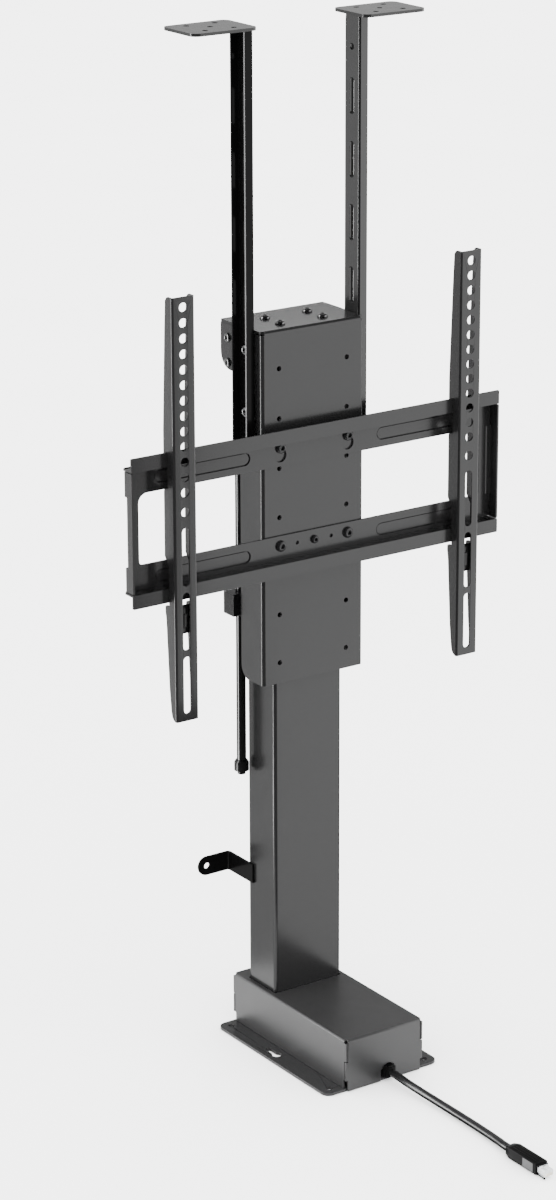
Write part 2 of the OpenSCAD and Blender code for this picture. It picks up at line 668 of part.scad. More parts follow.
// Bent sheet: front plate, side flanges, cap and two ears
module carriage_plate() color(steel) {
    t = carriage_t;
    r = 3.5;
    side_z1 = cap_top - 3.6;
    notch = 3.6;
    corner = 14;
    difference() {
        union() {
            span([-plate_half + r, plate_y, plate_z0], [plate_half - r, plate_y + t, cap_top - r]);
            for (s = [-1, 1]) mirrored(s) {
                translate([plate_half - r, plate_y + r, plate_z0]) rotate([0, 0, -90])
                    quarter_bend(r, t, side_z1 - plate_z0);
                side_flange(side_z1, corner);
                ear();
            }
            translate([-plate_half + 2, plate_y + r, cap_top - r]) rotate([90, 0, 90])
                mirror([1, 0, 0]) quarter_bend(r, t, plate_w - 4);
            span([-plate_half, plate_y + r, cap_top - t], [plate_half, cap_y1, cap_top]);
        }
        for (s = [-1, 1], k = [0:hole_steps])
            translate([s * grid_dx / 2, plate_y - eps, hole_top_z - hole_pitch * k]) rotate([-90, 0, 0])
                cylinder(r = 2.6, h = t + 2 * eps);
        for (s = [-1, 1], z = [bar_screw_top, bar_screw_low])
            translate([s * bar_screw_x, plate_y - eps, z]) rotate([-90, 0, 0]) cylinder(r = 2.5, h = t + 2 * eps);
        translate([0, plate_y - eps, bar_screw_low]) rotate([-90, 0, 0]) cylinder(r = 2.5, h = t + 2 * eps);
        for (x = [-1, 1], y = [-1, 1])
            translate([x * cap_hole_x, col_y + y * cap_hole_y, cap_top - 5]) cylinder(r = 3, h = 10);
        for (s = [-1, 1]) mirrored(s) {
            span([plate_half - notch, plate_y - eps, cap_top - notch], [plate_half + eps, plate_y + notch, cap_top + eps]);
            for (z = [lid_screw_z, lid_screw_z - slot_pitch])
                translate([plate_half - 5, slot_y, z]) rotate([0, 90, 0]) cylinder(r = 2.5, h = 8);
            for (z = [cap_top - 15, cap_top - 40])
                translate([ear_x - 5, rod_y, z]) rotate([0, 90, 0]) cylinder(r = 2.2, h = 8);
        }
    }
}

// Side flange of the carriage plate, its lower rear corner round
module side_flange(side_z1, corner) {
    x0 = plate_half - carriage_t;
    y1 = plate_y + flange_d;
    span([x0, plate_y + 3.5, plate_z0], [plate_half, y1 - corner, side_z1]);
    span([x0, y1 - corner - eps, plate_z0 + corner], [plate_half, y1, side_z1]);
    intersection() {
        translate([x0, y1 - corner, plate_z0 + corner]) rotate([0, 90, 0]) cylinder(r = corner, h = carriage_t);
        span([x0 - 1, y1 - corner - eps, plate_z0], [plate_half + 1, y1, plate_z0 + corner]);
    }
}

// Ear bent down from the rear of the cap
module ear() {
    t = carriage_t;
    r = 3.5;
    round_r = 17;
    span([plate_half - eps, ear_y0, cap_top - t], [ear_x - r, ear_y1, cap_top]);
    translate([ear_x - r, ear_y1, cap_top - r]) rotate([90, 0, 0]) quarter_bend(r, t, ear_y1 - ear_y0);
    span([ear_x - t, ear_y0, ear_z0], [ear_x, ear_y1 - round_r, cap_top - r]);
    span([ear_x - t, ear_y0, ear_z0 + round_r], [ear_x, ear_y1, cap_top - r]);
    intersection() {
        translate([ear_x - t, ear_y1 - round_r, ear_z0 + round_r]) rotate([0, 90, 0]) cylinder(r = round_r, h = t);
        span([ear_x - t - 1, ear_y1 - round_r, ear_z0], [ear_x + 1, ear_y1, ear_z0 + round_r]);
    }
}

// Pressed crossbar: tray open to the front, lips, beads, window and keyholes
module crossbar() color(steel) {
    for (s = [-1, 1], z = bead_levels) mirrored(s)
        lying_slot(bead_x0 + 2.4, bead_x1 - 2.4, z, 10.8, plate_y - sheet_t + 1, plate_y + 0.3);
    hw = bar_w / 2;
    t = sheet_t;
    sharp = 2.5;
    soft = 7.5;
    difference() {
        union() {
            span([-hw + soft, plate_y - t, tray_z0], [hw - soft, plate_y, tray_z1]);
            span([-hw, bar_y0, tray_z1 - t], [hw, plate_y, tray_z1]);
            span([-hw, bar_y0, tray_z0], [hw, plate_y, tray_z0 + t]);
            span([-hw, bar_y0, tray_z1 - t], [hw, bar_y0 + t, tray_z1 + lip_h]);
            span([-hw, bar_y0, tray_z0 - lip_h], [hw, bar_y0 + t, tray_z0 + t]);
            for (s = [-1, 1]) mirrored(s) {
                bar_end(tray_z0 + 3, window_z0 + 0.01, sharp, soft);
                bar_end(window_z0, window_z1, soft, soft);
                bar_end(window_z1 - 0.01, tray_z1 - 3, sharp, soft);
                for (z = bead_levels) lying_slot(bead_x0, bead_x1, z, 15.6, plate_y - eps, plate_y + bead_depth);
            }
        }
        window_cut();
        for (s = [-1, 1], z = bead_levels) mirrored(s)
            lying_slot(bead_x0 + 1.2, bead_x1 - 1.2, z, 13.2, plate_y - t - eps, plate_y - t + bead_depth);
        for (s = [-1, 1]) {
            translate([s * bar_screw_x, plate_y - t - eps, bar_screw_top - 8]) rotate([-90, 0, 0])
                cylinder(r = 7, h = t + 2 * eps);
            upright_slot(s * bar_screw_x, bar_screw_top - 8, bar_screw_top + 3.5, 7, plate_y - t - eps, plate_y + eps);
            translate([s * bar_screw_x, plate_y - t - eps, bar_screw_low]) rotate([-90, 0, 0])
                cylinder(r = 3.2, h = t + 2 * eps);
            translate([s * pilot_x, plate_y - t - eps, bar_screw_low]) rotate([-90, 0, 0])
                cylinder(r = 2, h = t + 2 * eps);
        }
        translate([0, plate_y - t - eps, bar_screw_low]) rotate([-90, 0, 0]) cylinder(r = 2.7, h = t + 2 * eps);
        for (s = [-1, 1]) mirrored(s) {
            lip_corner(tray_z1 + lip_h, 1);
            lip_corner(tray_z0 - lip_h, -1);
        }
    }
}

bead_levels = [tray_z1 - 13.8, tray_z0 + 12.2];
bead_x0 = window_half - 129;
bead_x1 = window_half - 17;
bead_depth = 2.2;

// End of the tray: back wall bent forward into a side flange
module bar_end(z0, z1, r, wall_r) {
    hw = bar_w / 2;
    span([hw - wall_r - eps, plate_y - sheet_t, z0], [hw - r, plate_y, z1]);
    translate([hw - r, plate_y - r, z0]) quarter_bend(r, sheet_t, z1 - z0);
    span([hw - sheet_t, bar_y0, z0], [hw, plate_y - r, z1]);
}

// Rounds the outer corner of a lip
module lip_corner(z, up) {
    r = 1.2;
    x = bar_w / 2 - r;
    difference() {
        span([x, bar_y0 - eps, min(z - up * r, z + up)], [x + r + eps, bar_y0 + sheet_t + eps, max(z - up * r, z + up)]);
        translate([x, bar_y0 - 1, z - up * r]) rotate([-90, 0, 0]) cylinder(r = r, h = sheet_t + 2);
    }
}

// Window of the crossbar: wide rounding above, narrow rounding below
module window_cut() {
    y0 = plate_y - sheet_t - eps;
    y1 = plate_y + 2;
    big = 10;
    small = 4.5;
    span([-window_half + big, y0, window_z0], [window_half - big, y1, window_z1]);
    span([-window_half, y0, window_z0 + small], [window_half, y1, window_z1 - big]);
    span([-window_half + small, y0, window_z0], [window_half - small, y1, window_z0 + small + eps]);
    for (s = [-1, 1]) {
        translate([s * (window_half - big), y0, window_z1 - big]) rotate([-90, 0, 0]) cylinder(r = big, h = y1 - y0);
        translate([s * (window_half - small), y0, window_z0 + small]) rotate([-90, 0, 0])
            cylinder(r = small, h = y1 - y0);
    }
}

// Screw through the crossbar with its nut behind the carriage plate
module plate_screw(x, z, head_r, shank_r) {
    translate([x, plate_y - sheet_t, z]) rotate([90, 0, 0])
        button_screw(head_r, 3.2, shank_r, sheet_t + carriage_t + 4);
    translate([x, plate_y + carriage_t, z]) rotate([-90, 0, 0]) cylinder(r = shank_r + 2.6, h = 3.4, $fn = 6);
}

module crossbar_upper_screws() color(dark)
    for (s = [-1, 1]) plate_screw(s * bar_screw_x, bar_screw_top, 5.6, 2.5);

module crossbar_lower_screws() color(dark) {
    for (s = [-1, 1]) plate_screw(s * bar_screw_x, bar_screw_low, 5.6, 2.5);
    plate_screw(0, bar_screw_low, 4.2, 2.5);
}

// Guide rods behind the carriage

module rod_head(side) color(plastic)
    mirrored(side) difference() {
        span([rod_x - 8.5, ear_y0 + 2, ear_z0 + 1], [ear_x - carriage_t, ear_y1 - 3, cap_top - carriage_t - 1.1]);
        translate([rod_x, rod_y, ear_z0 - 2]) cylinder(d = rod_d, h = 36);
        for (z = [cap_top - 15, cap_top - 40])
            translate([ear_x - carriage_t - 3.6, rod_y, z]) rotate([0, 90, 0]) cylinder(r = 2.2, h = 5);
        translate([ear_x - carriage_t - 8, ear_y1 - 3, ear_z0]) rotate([45, 0, 0]) cube([20, 14, 14], center = true);
    }

module ear_screws(side) color(dark)
    mirrored(side)
        for (z = [cap_top - 15, cap_top - 40])
            translate([ear_x, rod_y, z]) rotate([0, 90, 0]) button_screw(4.6, 2.8, 2.2, 5.9);

module guide_rod(side) color(dark)
    mirrored(side) translate([rod_x, rod_y, rod_z0]) cylinder(d = rod_d, h = ear_z0 + 34 - rod_z0);

// Block with a tongue on the inner face of the side flange
module guide_block(side) color(plastic)
    mirrored(side) difference() {
        union() {
            span([rod_x - 8, rod_y - 9, block_z0], [rod_x + 14.5, rod_y + 9, block_z0 + block_h]);
            span([plate_half - carriage_t - 6, plate_y + 20, block_z0],
                [plate_half - carriage_t, rod_y - 8, block_z0 + block_h]);
        }
        translate([rod_x, rod_y, block_z0 - eps]) cylinder(d = rod_d, h = block_h + 2 * eps);
    }

module rod_bumper(side) color(dark)
    mirrored(side) translate([rod_x, rod_y, 0]) {
        translate([0, 0, rod_z0 - 4]) cylinder(r = 4, h = 4);
        difference() {
            union() {
                translate([0, 0, rod_z0]) cylinder(r = 7.5, h = 8.5);
                translate([0, 0, rod_z0 + 8.5]) cylinder(r1 = 7.5, r2 = 6, h = 2.5);
            }
            translate([0, 0, rod_z0 + 0.01]) cylinder(d = rod_d, h = 12);
        }
    }

// Lid bars

module lid_bar_screws(side) color(dark) {
    washer_t = web_x - 0.1 - plate_half;
    grip = sheet_t + 0.2 + washer_t + carriage_t;
    nut_t = 3.9;
    mirrored(side)
        for (z = [lid_screw_z, lid_screw_z - slot_pitch])
            translate([web_x + sheet_t + 0.1, slot_y, z]) rotate([0, 90, 0]) {
                button_screw(5.6, 3, 3.1, sheet_t + 0.2);
                translate([0, 0, -sheet_t - 0.2 - washer_t]) cylinder(r = 5.6, h = washer_t);
                translate([0, 0, -grip - nut_t]) cylinder(r = 2.5, h = grip + nut_t);
                translate([0, 0, -grip - nut_t]) cylinder(r = 4.8, h = nut_t, $fn = 6);
            }
}

module lid_bar(side) color(steel)
    mirrored(side) difference() {
        span([web_x, lid_bar_y0, lid_bar_bottom], [web_x + lid_flange, lid_bar_y0 + lid_bar_d, lid_bar_top]);
        span([web_x + sheet_t, lid_bar_y0 + sheet_t, lid_bar_bottom - eps],
            [web_x + lid_flange + eps, lid_bar_y0 + lid_bar_d - sheet_t, lid_bar_top + eps]);
        translate([web_x - eps, slot_y, lid_bar_top - 30]) rotate([0, 90, 0]) cylinder(r = 3.4, h = sheet_t + 2 * eps);
        for (k = [-1:slots_above]) web_slot(slot_top + slot_pitch * k);
    }

module web_slot(z1) {
    r = slot_w / 2;
    span([web_x - eps, slot_y - r, z1 - slot_l + r], [web_x + sheet_t + eps, slot_y + r, z1 - r]);
    for (z = [z1 - slot_l + r, z1 - r])
        translate([web_x - eps, slot_y, z]) rotate([0, 90, 0]) cylinder(r = r, h = sheet_t + 2 * eps);
}

module lid_plate(side) color(steel) {
    yc = plate_y + 28;
    xc = web_x + lid_w / 2;
    mirrored(side) difference() {
        round_plate([web_x, yc - lid_d / 2, lid_bar_top], [web_x + lid_w, yc + lid_d / 2, lid_top], 8);
        for (x = [-16, 16], y = [-16, 16])
            translate([xc + x, yc + y, lid_bar_top - eps]) cylinder(r = 2.75, h = plate_t + 2 * eps);
        translate([xc, yc, lid_bar_top - eps]) cylinder(r = 2.75, h = plate_t + 2 * eps);
    }
}

// Screen arms

// U channel with side walls that taper and hook over the lips of the crossbar
module arm(xc) color(steel) {
    t = sheet_t;
    x0 = xc - arm_w / 2;
    r = arm_bend;
    difference() {
        union() {
            span([x0 + r, arm_y0, arm_bottom], [x0 + arm_w - r, arm_y0 + t, arm_top]);
            for (s = [-1, 1]) translate([xc, 0, 0]) mirrored(s) {
                translate([arm_w / 2 - r, arm_y0 + r, arm_bottom]) rotate([0, 0, -90])
                    quarter_bend(r, t, arm_h);
                arm_wall();
            }
        }
        for (k = [0:12]) arm_hole(xc, arm_top - 10 - 15 * k);
        arm_hole(xc, arm_top - 209.5);
        for (k = [0:arm_slot_steps])
            upright_slot(xc, arm_top - 283.4 - arm_slot_pitch * k, arm_top - 225.2 - arm_slot_pitch * k, 8,
                arm_y0 - eps, arm_y0 + t + eps);
    }
}

module arm_hole(xc, z)
    translate([xc, arm_y0 - eps, z]) rotate([-90, 0, 0]) cylinder(r = 4.5, h = sheet_t + 2 * eps);

// One side wall of an arm, from its outline in the YZ plane
module arm_wall() {
    front = arm_y0 + arm_bend;
    deep = bar_y0 + 6.5;
    slim = bar_y0 - slide_gap;
    hook = bar_y0 + sheet_t + slide_gap;
    lip_top = tray_z1 + lip_h + slide_gap;
    lip_low = tray_z0 - lip_h - slide_gap;
    outline = [
        [front, arm_bottom], [arm_y0 + 5, arm_bottom + 1], [arm_y0 + 8, arm_bottom + 4],
        [arm_y0 + 9.5, arm_bottom + 9], [arm_y0 + 12, arm_bottom + 30], [deep - 1.5, lip_low - 18],
        [deep, lip_low - 10], [deep, lip_low - 5.5], [deep - 1, lip_low - 4], [deep - 2.5, lip_low - 3.5],
        [slim, lip_low - 3.5],
        [slim, window_z0 - 2], [slim + 2, window_z0 + 1], [deep - 2, window_z0 + 4], [deep, window_z0 + 7],
        [deep, window_z1 + 1], [deep - 2, window_z1 + 4], [slim, window_z1 + 4],
        [slim, lip_top], [hook, lip_top], [hook, tray_z1 + 3], [deep - 1, tray_z1 + 3], [deep, tray_z1 + 5],
        [deep, lip_top + 20], [arm_y0 + 13.5, arm_top - 30], [arm_y0 + 12, arm_top - 4],
        [arm_y0 + 10, arm_top - 1], [arm_y0 + 8, arm_top], [front, arm_top]
    ];
    translate([arm_w / 2 - sheet_t, 0, 0]) rotate([90, 0, 90]) linear_extrude(sheet_t) polygon(outline);
}

base_plate();
base_housing();
housing_screws();
outer_column();
column_foot();
foot_screws();
column_collar();
column_glide();
wall_bracket();
cable_gland();
control_cord();
cord_plug();
plug_insert();
motor();
motor_clamp();
clamp_screws();
gearbox_body();
gearbox_lid();
gearbox_screws();
spindle_bearing();
control_board();
lower_spindle();
worm_wheel();
worm_shaft();
mid_tube();
mid_foot_glide();
mid_top_glide();
lower_nut();
spindle_retainer();
upper_spindle();
inner_tube();
inner_foot_glide();
upper_nut();
inner_head();
cap_screws();
carriage_plate();
crossbar();
crossbar_upper_screws();
crossbar_lower_screws();
rod_head(-1);  // rod_head_left
rod_head(1);  // rod_head_right
ear_screws(-1);  // ear_screws_left
ear_screws(1);  // ear_screws_right
guide_rod(-1);  // guide_rod_left
guide_rod(1);  // guide_rod_right
guide_block(-1);  // guide_block_left
guide_block(1);  // guide_block_right
rod_bumper(-1);  // rod_bumper_left
rod_bumper(1);  // rod_bumper_right
lid_bar_screws(-1);  // lid_bar_screws_left
lid_bar_screws(1);  // lid_bar_screws_right
lid_bar(-1);  // lid_bar_left
lid_bar(1);  // lid_bar_right
lid_plate(-1);  // lid_plate_left
lid_plate(1);  // lid_plate_right
arm(arm_left_x);  // arm_left
arm(arm_right_x);  // arm_right
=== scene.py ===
import math

import bmesh
import bpy
from mathutils import Matrix, Vector


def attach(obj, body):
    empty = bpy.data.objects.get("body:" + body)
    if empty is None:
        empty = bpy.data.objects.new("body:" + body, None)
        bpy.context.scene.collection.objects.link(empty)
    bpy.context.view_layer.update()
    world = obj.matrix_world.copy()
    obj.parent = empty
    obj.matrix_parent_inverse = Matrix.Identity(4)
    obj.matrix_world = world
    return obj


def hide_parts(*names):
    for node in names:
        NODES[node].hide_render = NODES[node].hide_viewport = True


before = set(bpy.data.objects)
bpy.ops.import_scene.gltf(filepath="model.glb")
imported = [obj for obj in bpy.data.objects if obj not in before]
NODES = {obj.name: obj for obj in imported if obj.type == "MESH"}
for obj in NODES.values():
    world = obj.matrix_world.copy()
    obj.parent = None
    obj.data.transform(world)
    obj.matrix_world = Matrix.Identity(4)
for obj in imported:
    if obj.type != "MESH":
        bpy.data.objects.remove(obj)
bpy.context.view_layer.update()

MM = 0.001


def point(x, y, z):
    """A point given in millimetres, in metres."""
    return Vector((x * MM, y * MM, z * MM))


def both(*stems):
    """The names of the left and the right node of each kind."""
    return [stem + end for stem in stems for end in ("_left", "_right")]


# Sizes of the lift, in millimetres, as in the solids

SHEET_T, CARRIAGE_T = 2, 2.5
PANEL_FRONT, PANEL_REAR = -100.5, 100.5
COLUMN_Y, ROD_Y = 57, 77
PLATE_FRONT, PLATE_HALF = 24, 60.25
CAP_TOP = 755
EAR_X = 63.5
LID_BAR_WEB, LID_BAR_TIP = 61, 71
LID_BAR_FRONT, LID_BAR_REAR = 34, 59
LID_SLOT_Y = 46.5
CORNER_X, CORNER_LEVELS = 212.6, (522.9, 645.3)
ARM_CENTRES = {"left": -165.5, "right": 172}
ARM_FRONT, ARM_INSIDE = -2, 21.5

# Sides and directions

SIDES = {"left": -1, "right": 1}
FRONT, REAR, RIGHT, UP = (0, -1, 0), (0, 1, 0), (1, 0, 0), (0, 0, 1)

# Distances, in metres, within which two places count as one

JOINED, SAME, CLOSE, NEARBY = 0.000001, 0.00001, 0.00002, 0.00005


# Camera

PHOTO_W, PHOTO_H = 556, 1200
FOCAL_PX = 3517.4
AXIS_PX = (313.1, 555.9)
CAMERA_AZIMUTH, CAMERA_ELEVATION = -34.92, 17.82
CAMERA_DISTANCE = 3.4666
AIM = point(0, 24, 520)


def placed(name, data):
    """A new object in the scene."""
    made = bpy.data.objects.new(name, data)
    bpy.context.scene.collection.objects.link(made)
    return made


def photo_camera():
    """The camera that was fitted to the photograph."""
    data = bpy.data.cameras.new("photo_camera")
    camera = placed("photo_camera", data)
    azimuth, elevation = math.radians(CAMERA_AZIMUTH), math.radians(CAMERA_ELEVATION)
    level = math.cos(elevation)
    back = Vector((math.sin(azimuth) * level, -math.cos(azimuth) * level, math.sin(elevation)))
    camera.location = AIM + back * CAMERA_DISTANCE
    camera.rotation_mode = "QUATERNION"
    camera.rotation_quaternion = (-back).to_track_quat("-Z", "Y")
    data.sensor_fit = "AUTO"
    data.sensor_width = 36
    data.lens = FOCAL_PX / PHOTO_H * data.sensor_width
    data.shift_x = (PHOTO_W / 2 - AXIS_PX[0]) / PHOTO_H
    data.shift_y = (AXIS_PX[1] - PHOTO_H / 2) / PHOTO_H
    data.clip_start, data.clip_end = 0.05, 100
    data.dof.use_dof = False
    bpy.context.scene.camera = camera


# Materials

NOISE_LOW, NOISE_HIGH = 0.3, 0.7
EVEN_GRAIN, LONG_GRAIN = (1, 1, 1), (1, 1, 12)


class Finish:
    """Builds one node material on Object coordinates."""

    def __init__(self, name):
        self.material = bpy.data.materials.new(name)
        self.material.use_nodes = True
        self.tree = self.material.node_tree
        self.shader = self.tree.nodes["Principled BSDF"]
        self.place = self.tree.nodes.new("ShaderNodeTexCoord").outputs["Object"]

    def set(self, **values):
        """Sets inputs of the shader, an underscore standing for a space in their names."""
        for name, value in values.items():
            self.shader.inputs[name.replace("_", " ")].default_value = value

    def stretch(self, scale):
        """Object coordinates scaled along each axis."""
        node = self.tree.nodes.new("ShaderNodeMapping")
        node.inputs["Scale"].default_value = scale
        self.tree.links.new(self.place, node.inputs["Vector"])
        return node.outputs["Vector"]

    def noise(self, scale, detail=3.0, rough=0.5, at=None):
        """Noise at the Object coordinates, or at the given ones."""
        node = self.tree.nodes.new("ShaderNodeTexNoise")
        node.inputs["Scale"].default_value = scale
        node.inputs["Detail"].default_value = detail
        node.inputs["Roughness"].default_value = rough
        self.tree.links.new(at or self.place, node.inputs["Vector"])
        return node.outputs["Fac"]

    def ramp(self, source, low, high):
        """A colour between two others, as the noise goes."""
        node = self.tree.nodes.new("ShaderNodeValToRGB")
        node.color_ramp.elements[0].position = NOISE_LOW
        node.color_ramp.elements[1].position = NOISE_HIGH
        node.color_ramp.elements[0].color = (*low, 1)
        node.color_ramp.elements[1].color = (*high, 1)
        self.tree.links.new(source, node.inputs["Fac"])
        return node.outputs["Color"]

    def span(self, source, low, high):
        """A value between two others, as the noise goes."""
        node = self.tree.nodes.new("ShaderNodeMapRange")
        node.inputs["From Min"].default_value = NOISE_LOW
        node.inputs["From Max"].default_value = NOISE_HIGH
        node.inputs["To Min"].default_value = low
        node.inputs["To Max"].default_value = high
        self.tree.links.new(source, node.inputs["Value"])
        return node.outputs["Result"]

    def colour(self, output):
        self.tree.links.new(output, self.shader.inputs["Base Color"])

    def roughness(self, output):
        self.tree.links.new(output, self.shader.inputs["Roughness"])

    def relief(self, source, height, strength):
        """Bump of the given height in metres."""
        node = self.tree.nodes.new("ShaderNodeBump")
        node.inputs["Distance"].default_value = height
        node.inputs["Strength"].default_value = strength
        self.tree.links.new(source, node.inputs["Height"])
        self.tree.links.new(node.outputs["Normal"], self.shader.inputs["Normal"])


def grey(value):
    """A grey with a trace of blue."""
    return (value, value, value * 1.02)


def powder_coat(name, tone, rough, mirror):
    """Satin powder coat: fine orange peel, slow changes of tone and of gloss."""
    finish = Finish(name)
    cloud = finish.noise(scale=9, detail=2)
    finish.colour(finish.ramp(cloud, grey(tone * 0.93), grey(tone * 1.07)))
    finish.roughness(finish.span(finish.noise(scale=60), rough - 0.015, rough + 0.02))
    finish.relief(finish.noise(scale=2600, detail=2), height=0.000006, strength=0.25)
    finish.set(Metallic=0.0, IOR=1.5, Specular_IOR_Level=mirror)
    return finish.material


def black_screw(name, mirror):
    """Black oiled steel with fine turning marks."""
    finish = Finish(name)
    marks = finish.noise(scale=700, detail=2, rough=0.4, at=finish.stretch((1, 1, 5)))
    finish.colour(finish.ramp(marks, (0.002, 0.002, 0.0021), (0.006, 0.006, 0.0062)))
    finish.roughness(finish.span(finish.noise(scale=300, detail=2), 0.08, 0.15))
    finish.relief(marks, height=0.00001, strength=0.3)
    finish.set(Metallic=0.0, Specular_IOR_Level=mirror)
    return finish.material


def moulded(name, tone, rough, mirror=0.5):
    """Moulded plastic with a fine spark-eroded grain."""
    finish = Finish(name)
    finish.colour(finish.ramp(finish.noise(scale=40, detail=2), grey(tone * 0.85), grey(tone * 1.15)))
    finish.roughness(finish.span(finish.noise(scale=150), rough - 0.06, rough + 0.06))
    finish.relief(finish.noise(scale=2400), height=0.00001, strength=0.4)
    finish.set(Specular_IOR_Level=mirror)
    return finish.material


def cord_jacket():
    """Smooth soft jacket with faint scuffs along it."""
    finish = Finish("cord_jacket")
    scuffs = finish.noise(scale=260, rough=0.6, at=finish.stretch((1, 0.08, 1)))
    finish.colour(finish.ramp(scuffs, (0.003, 0.003, 0.0032), (0.007, 0.007, 0.0073)))
    finish.roughness(finish.span(scuffs, 0.2, 0.28))
    finish.relief(finish.noise(scale=900, detail=2), height=0.00001, strength=0.3)
    finish.set(Specular_IOR_Level=0.3)
    return finish.material


def clear_connector():
    """Slightly hazy clear plastic."""
    finish = Finish("clear_connector")
    haze = finish.noise(scale=500)
    finish.colour(finish.ramp(haze, (0.62, 0.64, 0.65), (0.86, 0.88, 0.88)))
    finish.roughness(finish.span(haze, 0.08, 0.22))
    finish.relief(haze, height=0.00004, strength=0.3)
    finish.set(IOR=1.58, Transmission_Weight=0.45)
    return finish.material


def bare_metal(name, low, high, rough, grain=LONG_GRAIN, metallic=1.0):
    """Bare metal between two colours, with drawn or rolled grain."""
    finish = Finish(name)
    lines = finish.noise(scale=900, detail=2, at=finish.stretch(grain))
    finish.colour(finish.ramp(lines, low, high))
    finish.roughness(finish.span(finish.noise(scale=120), rough - 0.06, rough + 0.08))
    finish.relief(lines, height=0.00003, strength=0.4)
    finish.set(Metallic=metallic)
    return finish.material


def circuit_board():
    """Green board with a raised pattern of tracks."""
    finish = Finish("circuit_board")
    tracks = finish.tree.nodes.new("ShaderNodeTexBrick")
    tracks.inputs["Scale"].default_value = 260
    tracks.inputs["Color1"].default_value = (0.02, 0.12, 0.05, 1)
    tracks.inputs["Color2"].default_value = (0.03, 0.16, 0.07, 1)
    tracks.inputs["Mortar"].default_value = (0.05, 0.22, 0.1, 1)
    finish.tree.links.new(finish.place, tracks.inputs["Vector"])
    finish.colour(tracks.outputs["Color"])
    finish.roughness(finish.span(finish.noise(scale=200), 0.3, 0.5))
    finish.relief(tracks.outputs["Fac"], height=0.00005, strength=0.4)
    return finish.material


def floor_finish():
    """Matt white studio floor."""
    finish = Finish("studio_floor")
    finish.colour(finish.ramp(finish.noise(scale=3, detail=2), (0.93, 0.93, 0.93), (0.95, 0.95, 0.95)))
    finish.roughness(finish.span(finish.noise(scale=20), 0.7, 0.8))
    finish.set(Specular_IOR_Level=0.0)
    return finish.material


def make_materials():
    """Every finish of the lift, by its short name."""
    return {
        "coat": powder_coat("satin_coat", tone=0.0055, rough=0.22, mirror=0.205),
        "base_coat": powder_coat("satin_base_coat", tone=0.013, rough=0.24, mirror=0.2),
        "housing_coat": powder_coat("satin_housing_coat", tone=0.012, rough=0.36, mirror=0.3),
        "bar_coat": powder_coat("satin_bar_coat", tone=0.003, rough=0.2, mirror=0.31),
        "shaded_coat": powder_coat("shaded_coat", tone=0.0015, rough=0.16, mirror=0.035),
        # Painted highlight: a much lighter, fully glossy copy of the coat, for the bright line along the lid
        # bars' front flange tips.
        "painted_highlight_coat": powder_coat("painted_highlight_tip_coat", tone=0.045, rough=0.16, mirror=1.0),
        "rod_coat": powder_coat("rod_coat", tone=0.002, rough=0.12, mirror=0.36),
        "screw": black_screw("black_screw", mirror=0.8),
        "shaded_screw": black_screw("shaded_screw", mirror=0.16),
        "plastic": moulded("black_moulding", tone=0.002, rough=0.24, mirror=0.14),
        "glide": moulded("pale_glide", tone=0.55, rough=0.45),
        "jacket": cord_jacket(),
        "clear": clear_connector(),
        "plug_black": moulded("plug_moulding", tone=0.002, rough=0.4, mirror=0.05),
        "pale_panel": moulded("pale_panel", tone=0.05, rough=0.5, mirror=0.2),
        "zinc": bare_metal("zinc_plate", (0.42, 0.43, 0.44), (0.62, 0.63, 0.63), rough=0.38,
                           grain=EVEN_GRAIN),
        "ground": bare_metal("ground_steel", (0.5, 0.5, 0.51), (0.74, 0.74, 0.75), rough=0.24),
        "bronze": bare_metal("bronze", (0.4, 0.27, 0.1), (0.62, 0.45, 0.2), rough=0.32),
        "cast": bare_metal("cast_alloy", (0.36, 0.37, 0.38), (0.52, 0.53, 0.54), rough=0.5,
                           grain=EVEN_GRAIN, metallic=0.9),
        "board": circuit_board(),
    }


FINISH_OF = {
    "base_coat": ["base_plate"],
    "housing_coat": ["base_housing"],
    "coat": ["outer_column", "mid_tube", "inner_tube", "carriage_plate", "crossbar"]
            + both("arm", "lid_plate"),
    "bar_coat": ["lid_bar_right"],
    "shaded_coat": ["lid_bar_left", "wall_bracket"],
    "rod_coat": both("guide_rod"),
    "screw": ["housing_screws", "foot_screws", "clamp_screws", "gearbox_screws", "cap_screws"]
             + both("ear_screws", "lid_bar_screws"),
    "shaded_screw": ["crossbar_upper_screws", "crossbar_lower_screws"],
    "plastic": ["column_collar", "cable_gland", "cord_plug"] + both("rod_head", "guide_block", "rod_bumper"),
    "glide": ["column_glide", "mid_foot_glide", "mid_top_glide", "inner_foot_glide"],
    "jacket": ["control_cord"],
    "clear": ["plug_insert"],
    "zinc": ["column_foot", "motor", "motor_clamp", "spindle_retainer", "inner_head"],
    "ground": ["spindle_bearing", "lower_spindle", "worm_shaft", "upper_spindle"],
    "bronze": ["worm_wheel", "lower_nut", "upper_nut"],
    "cast": ["gearbox_body", "gearbox_lid"],
    "board": ["control_board"],
}


def dress_nodes(materials):
    """Gives every node of the solids its finish."""
    for finish, names in FINISH_OF.items():
        for name in names:
            slots = NODES[name].data.materials
            slots.clear()
            slots.append(materials[finish])


# Rounded edges

SHARP_ANGLE = math.radians(40)
SHEET_EDGE, BLOCK_EDGE, BUMPER_EDGE = 0.4, 0.9, 0.3
EDGE_RADIUS = {
    SHEET_EDGE: ["base_plate", "base_housing", "outer_column", "mid_tube", "inner_tube", "carriage_plate",
                 "crossbar", "wall_bracket"] + both("arm", "lid_plate", "rod_head"),
    BLOCK_EDGE: both("guide_block"),
    BUMPER_EDGE: both("rod_bumper"),
}


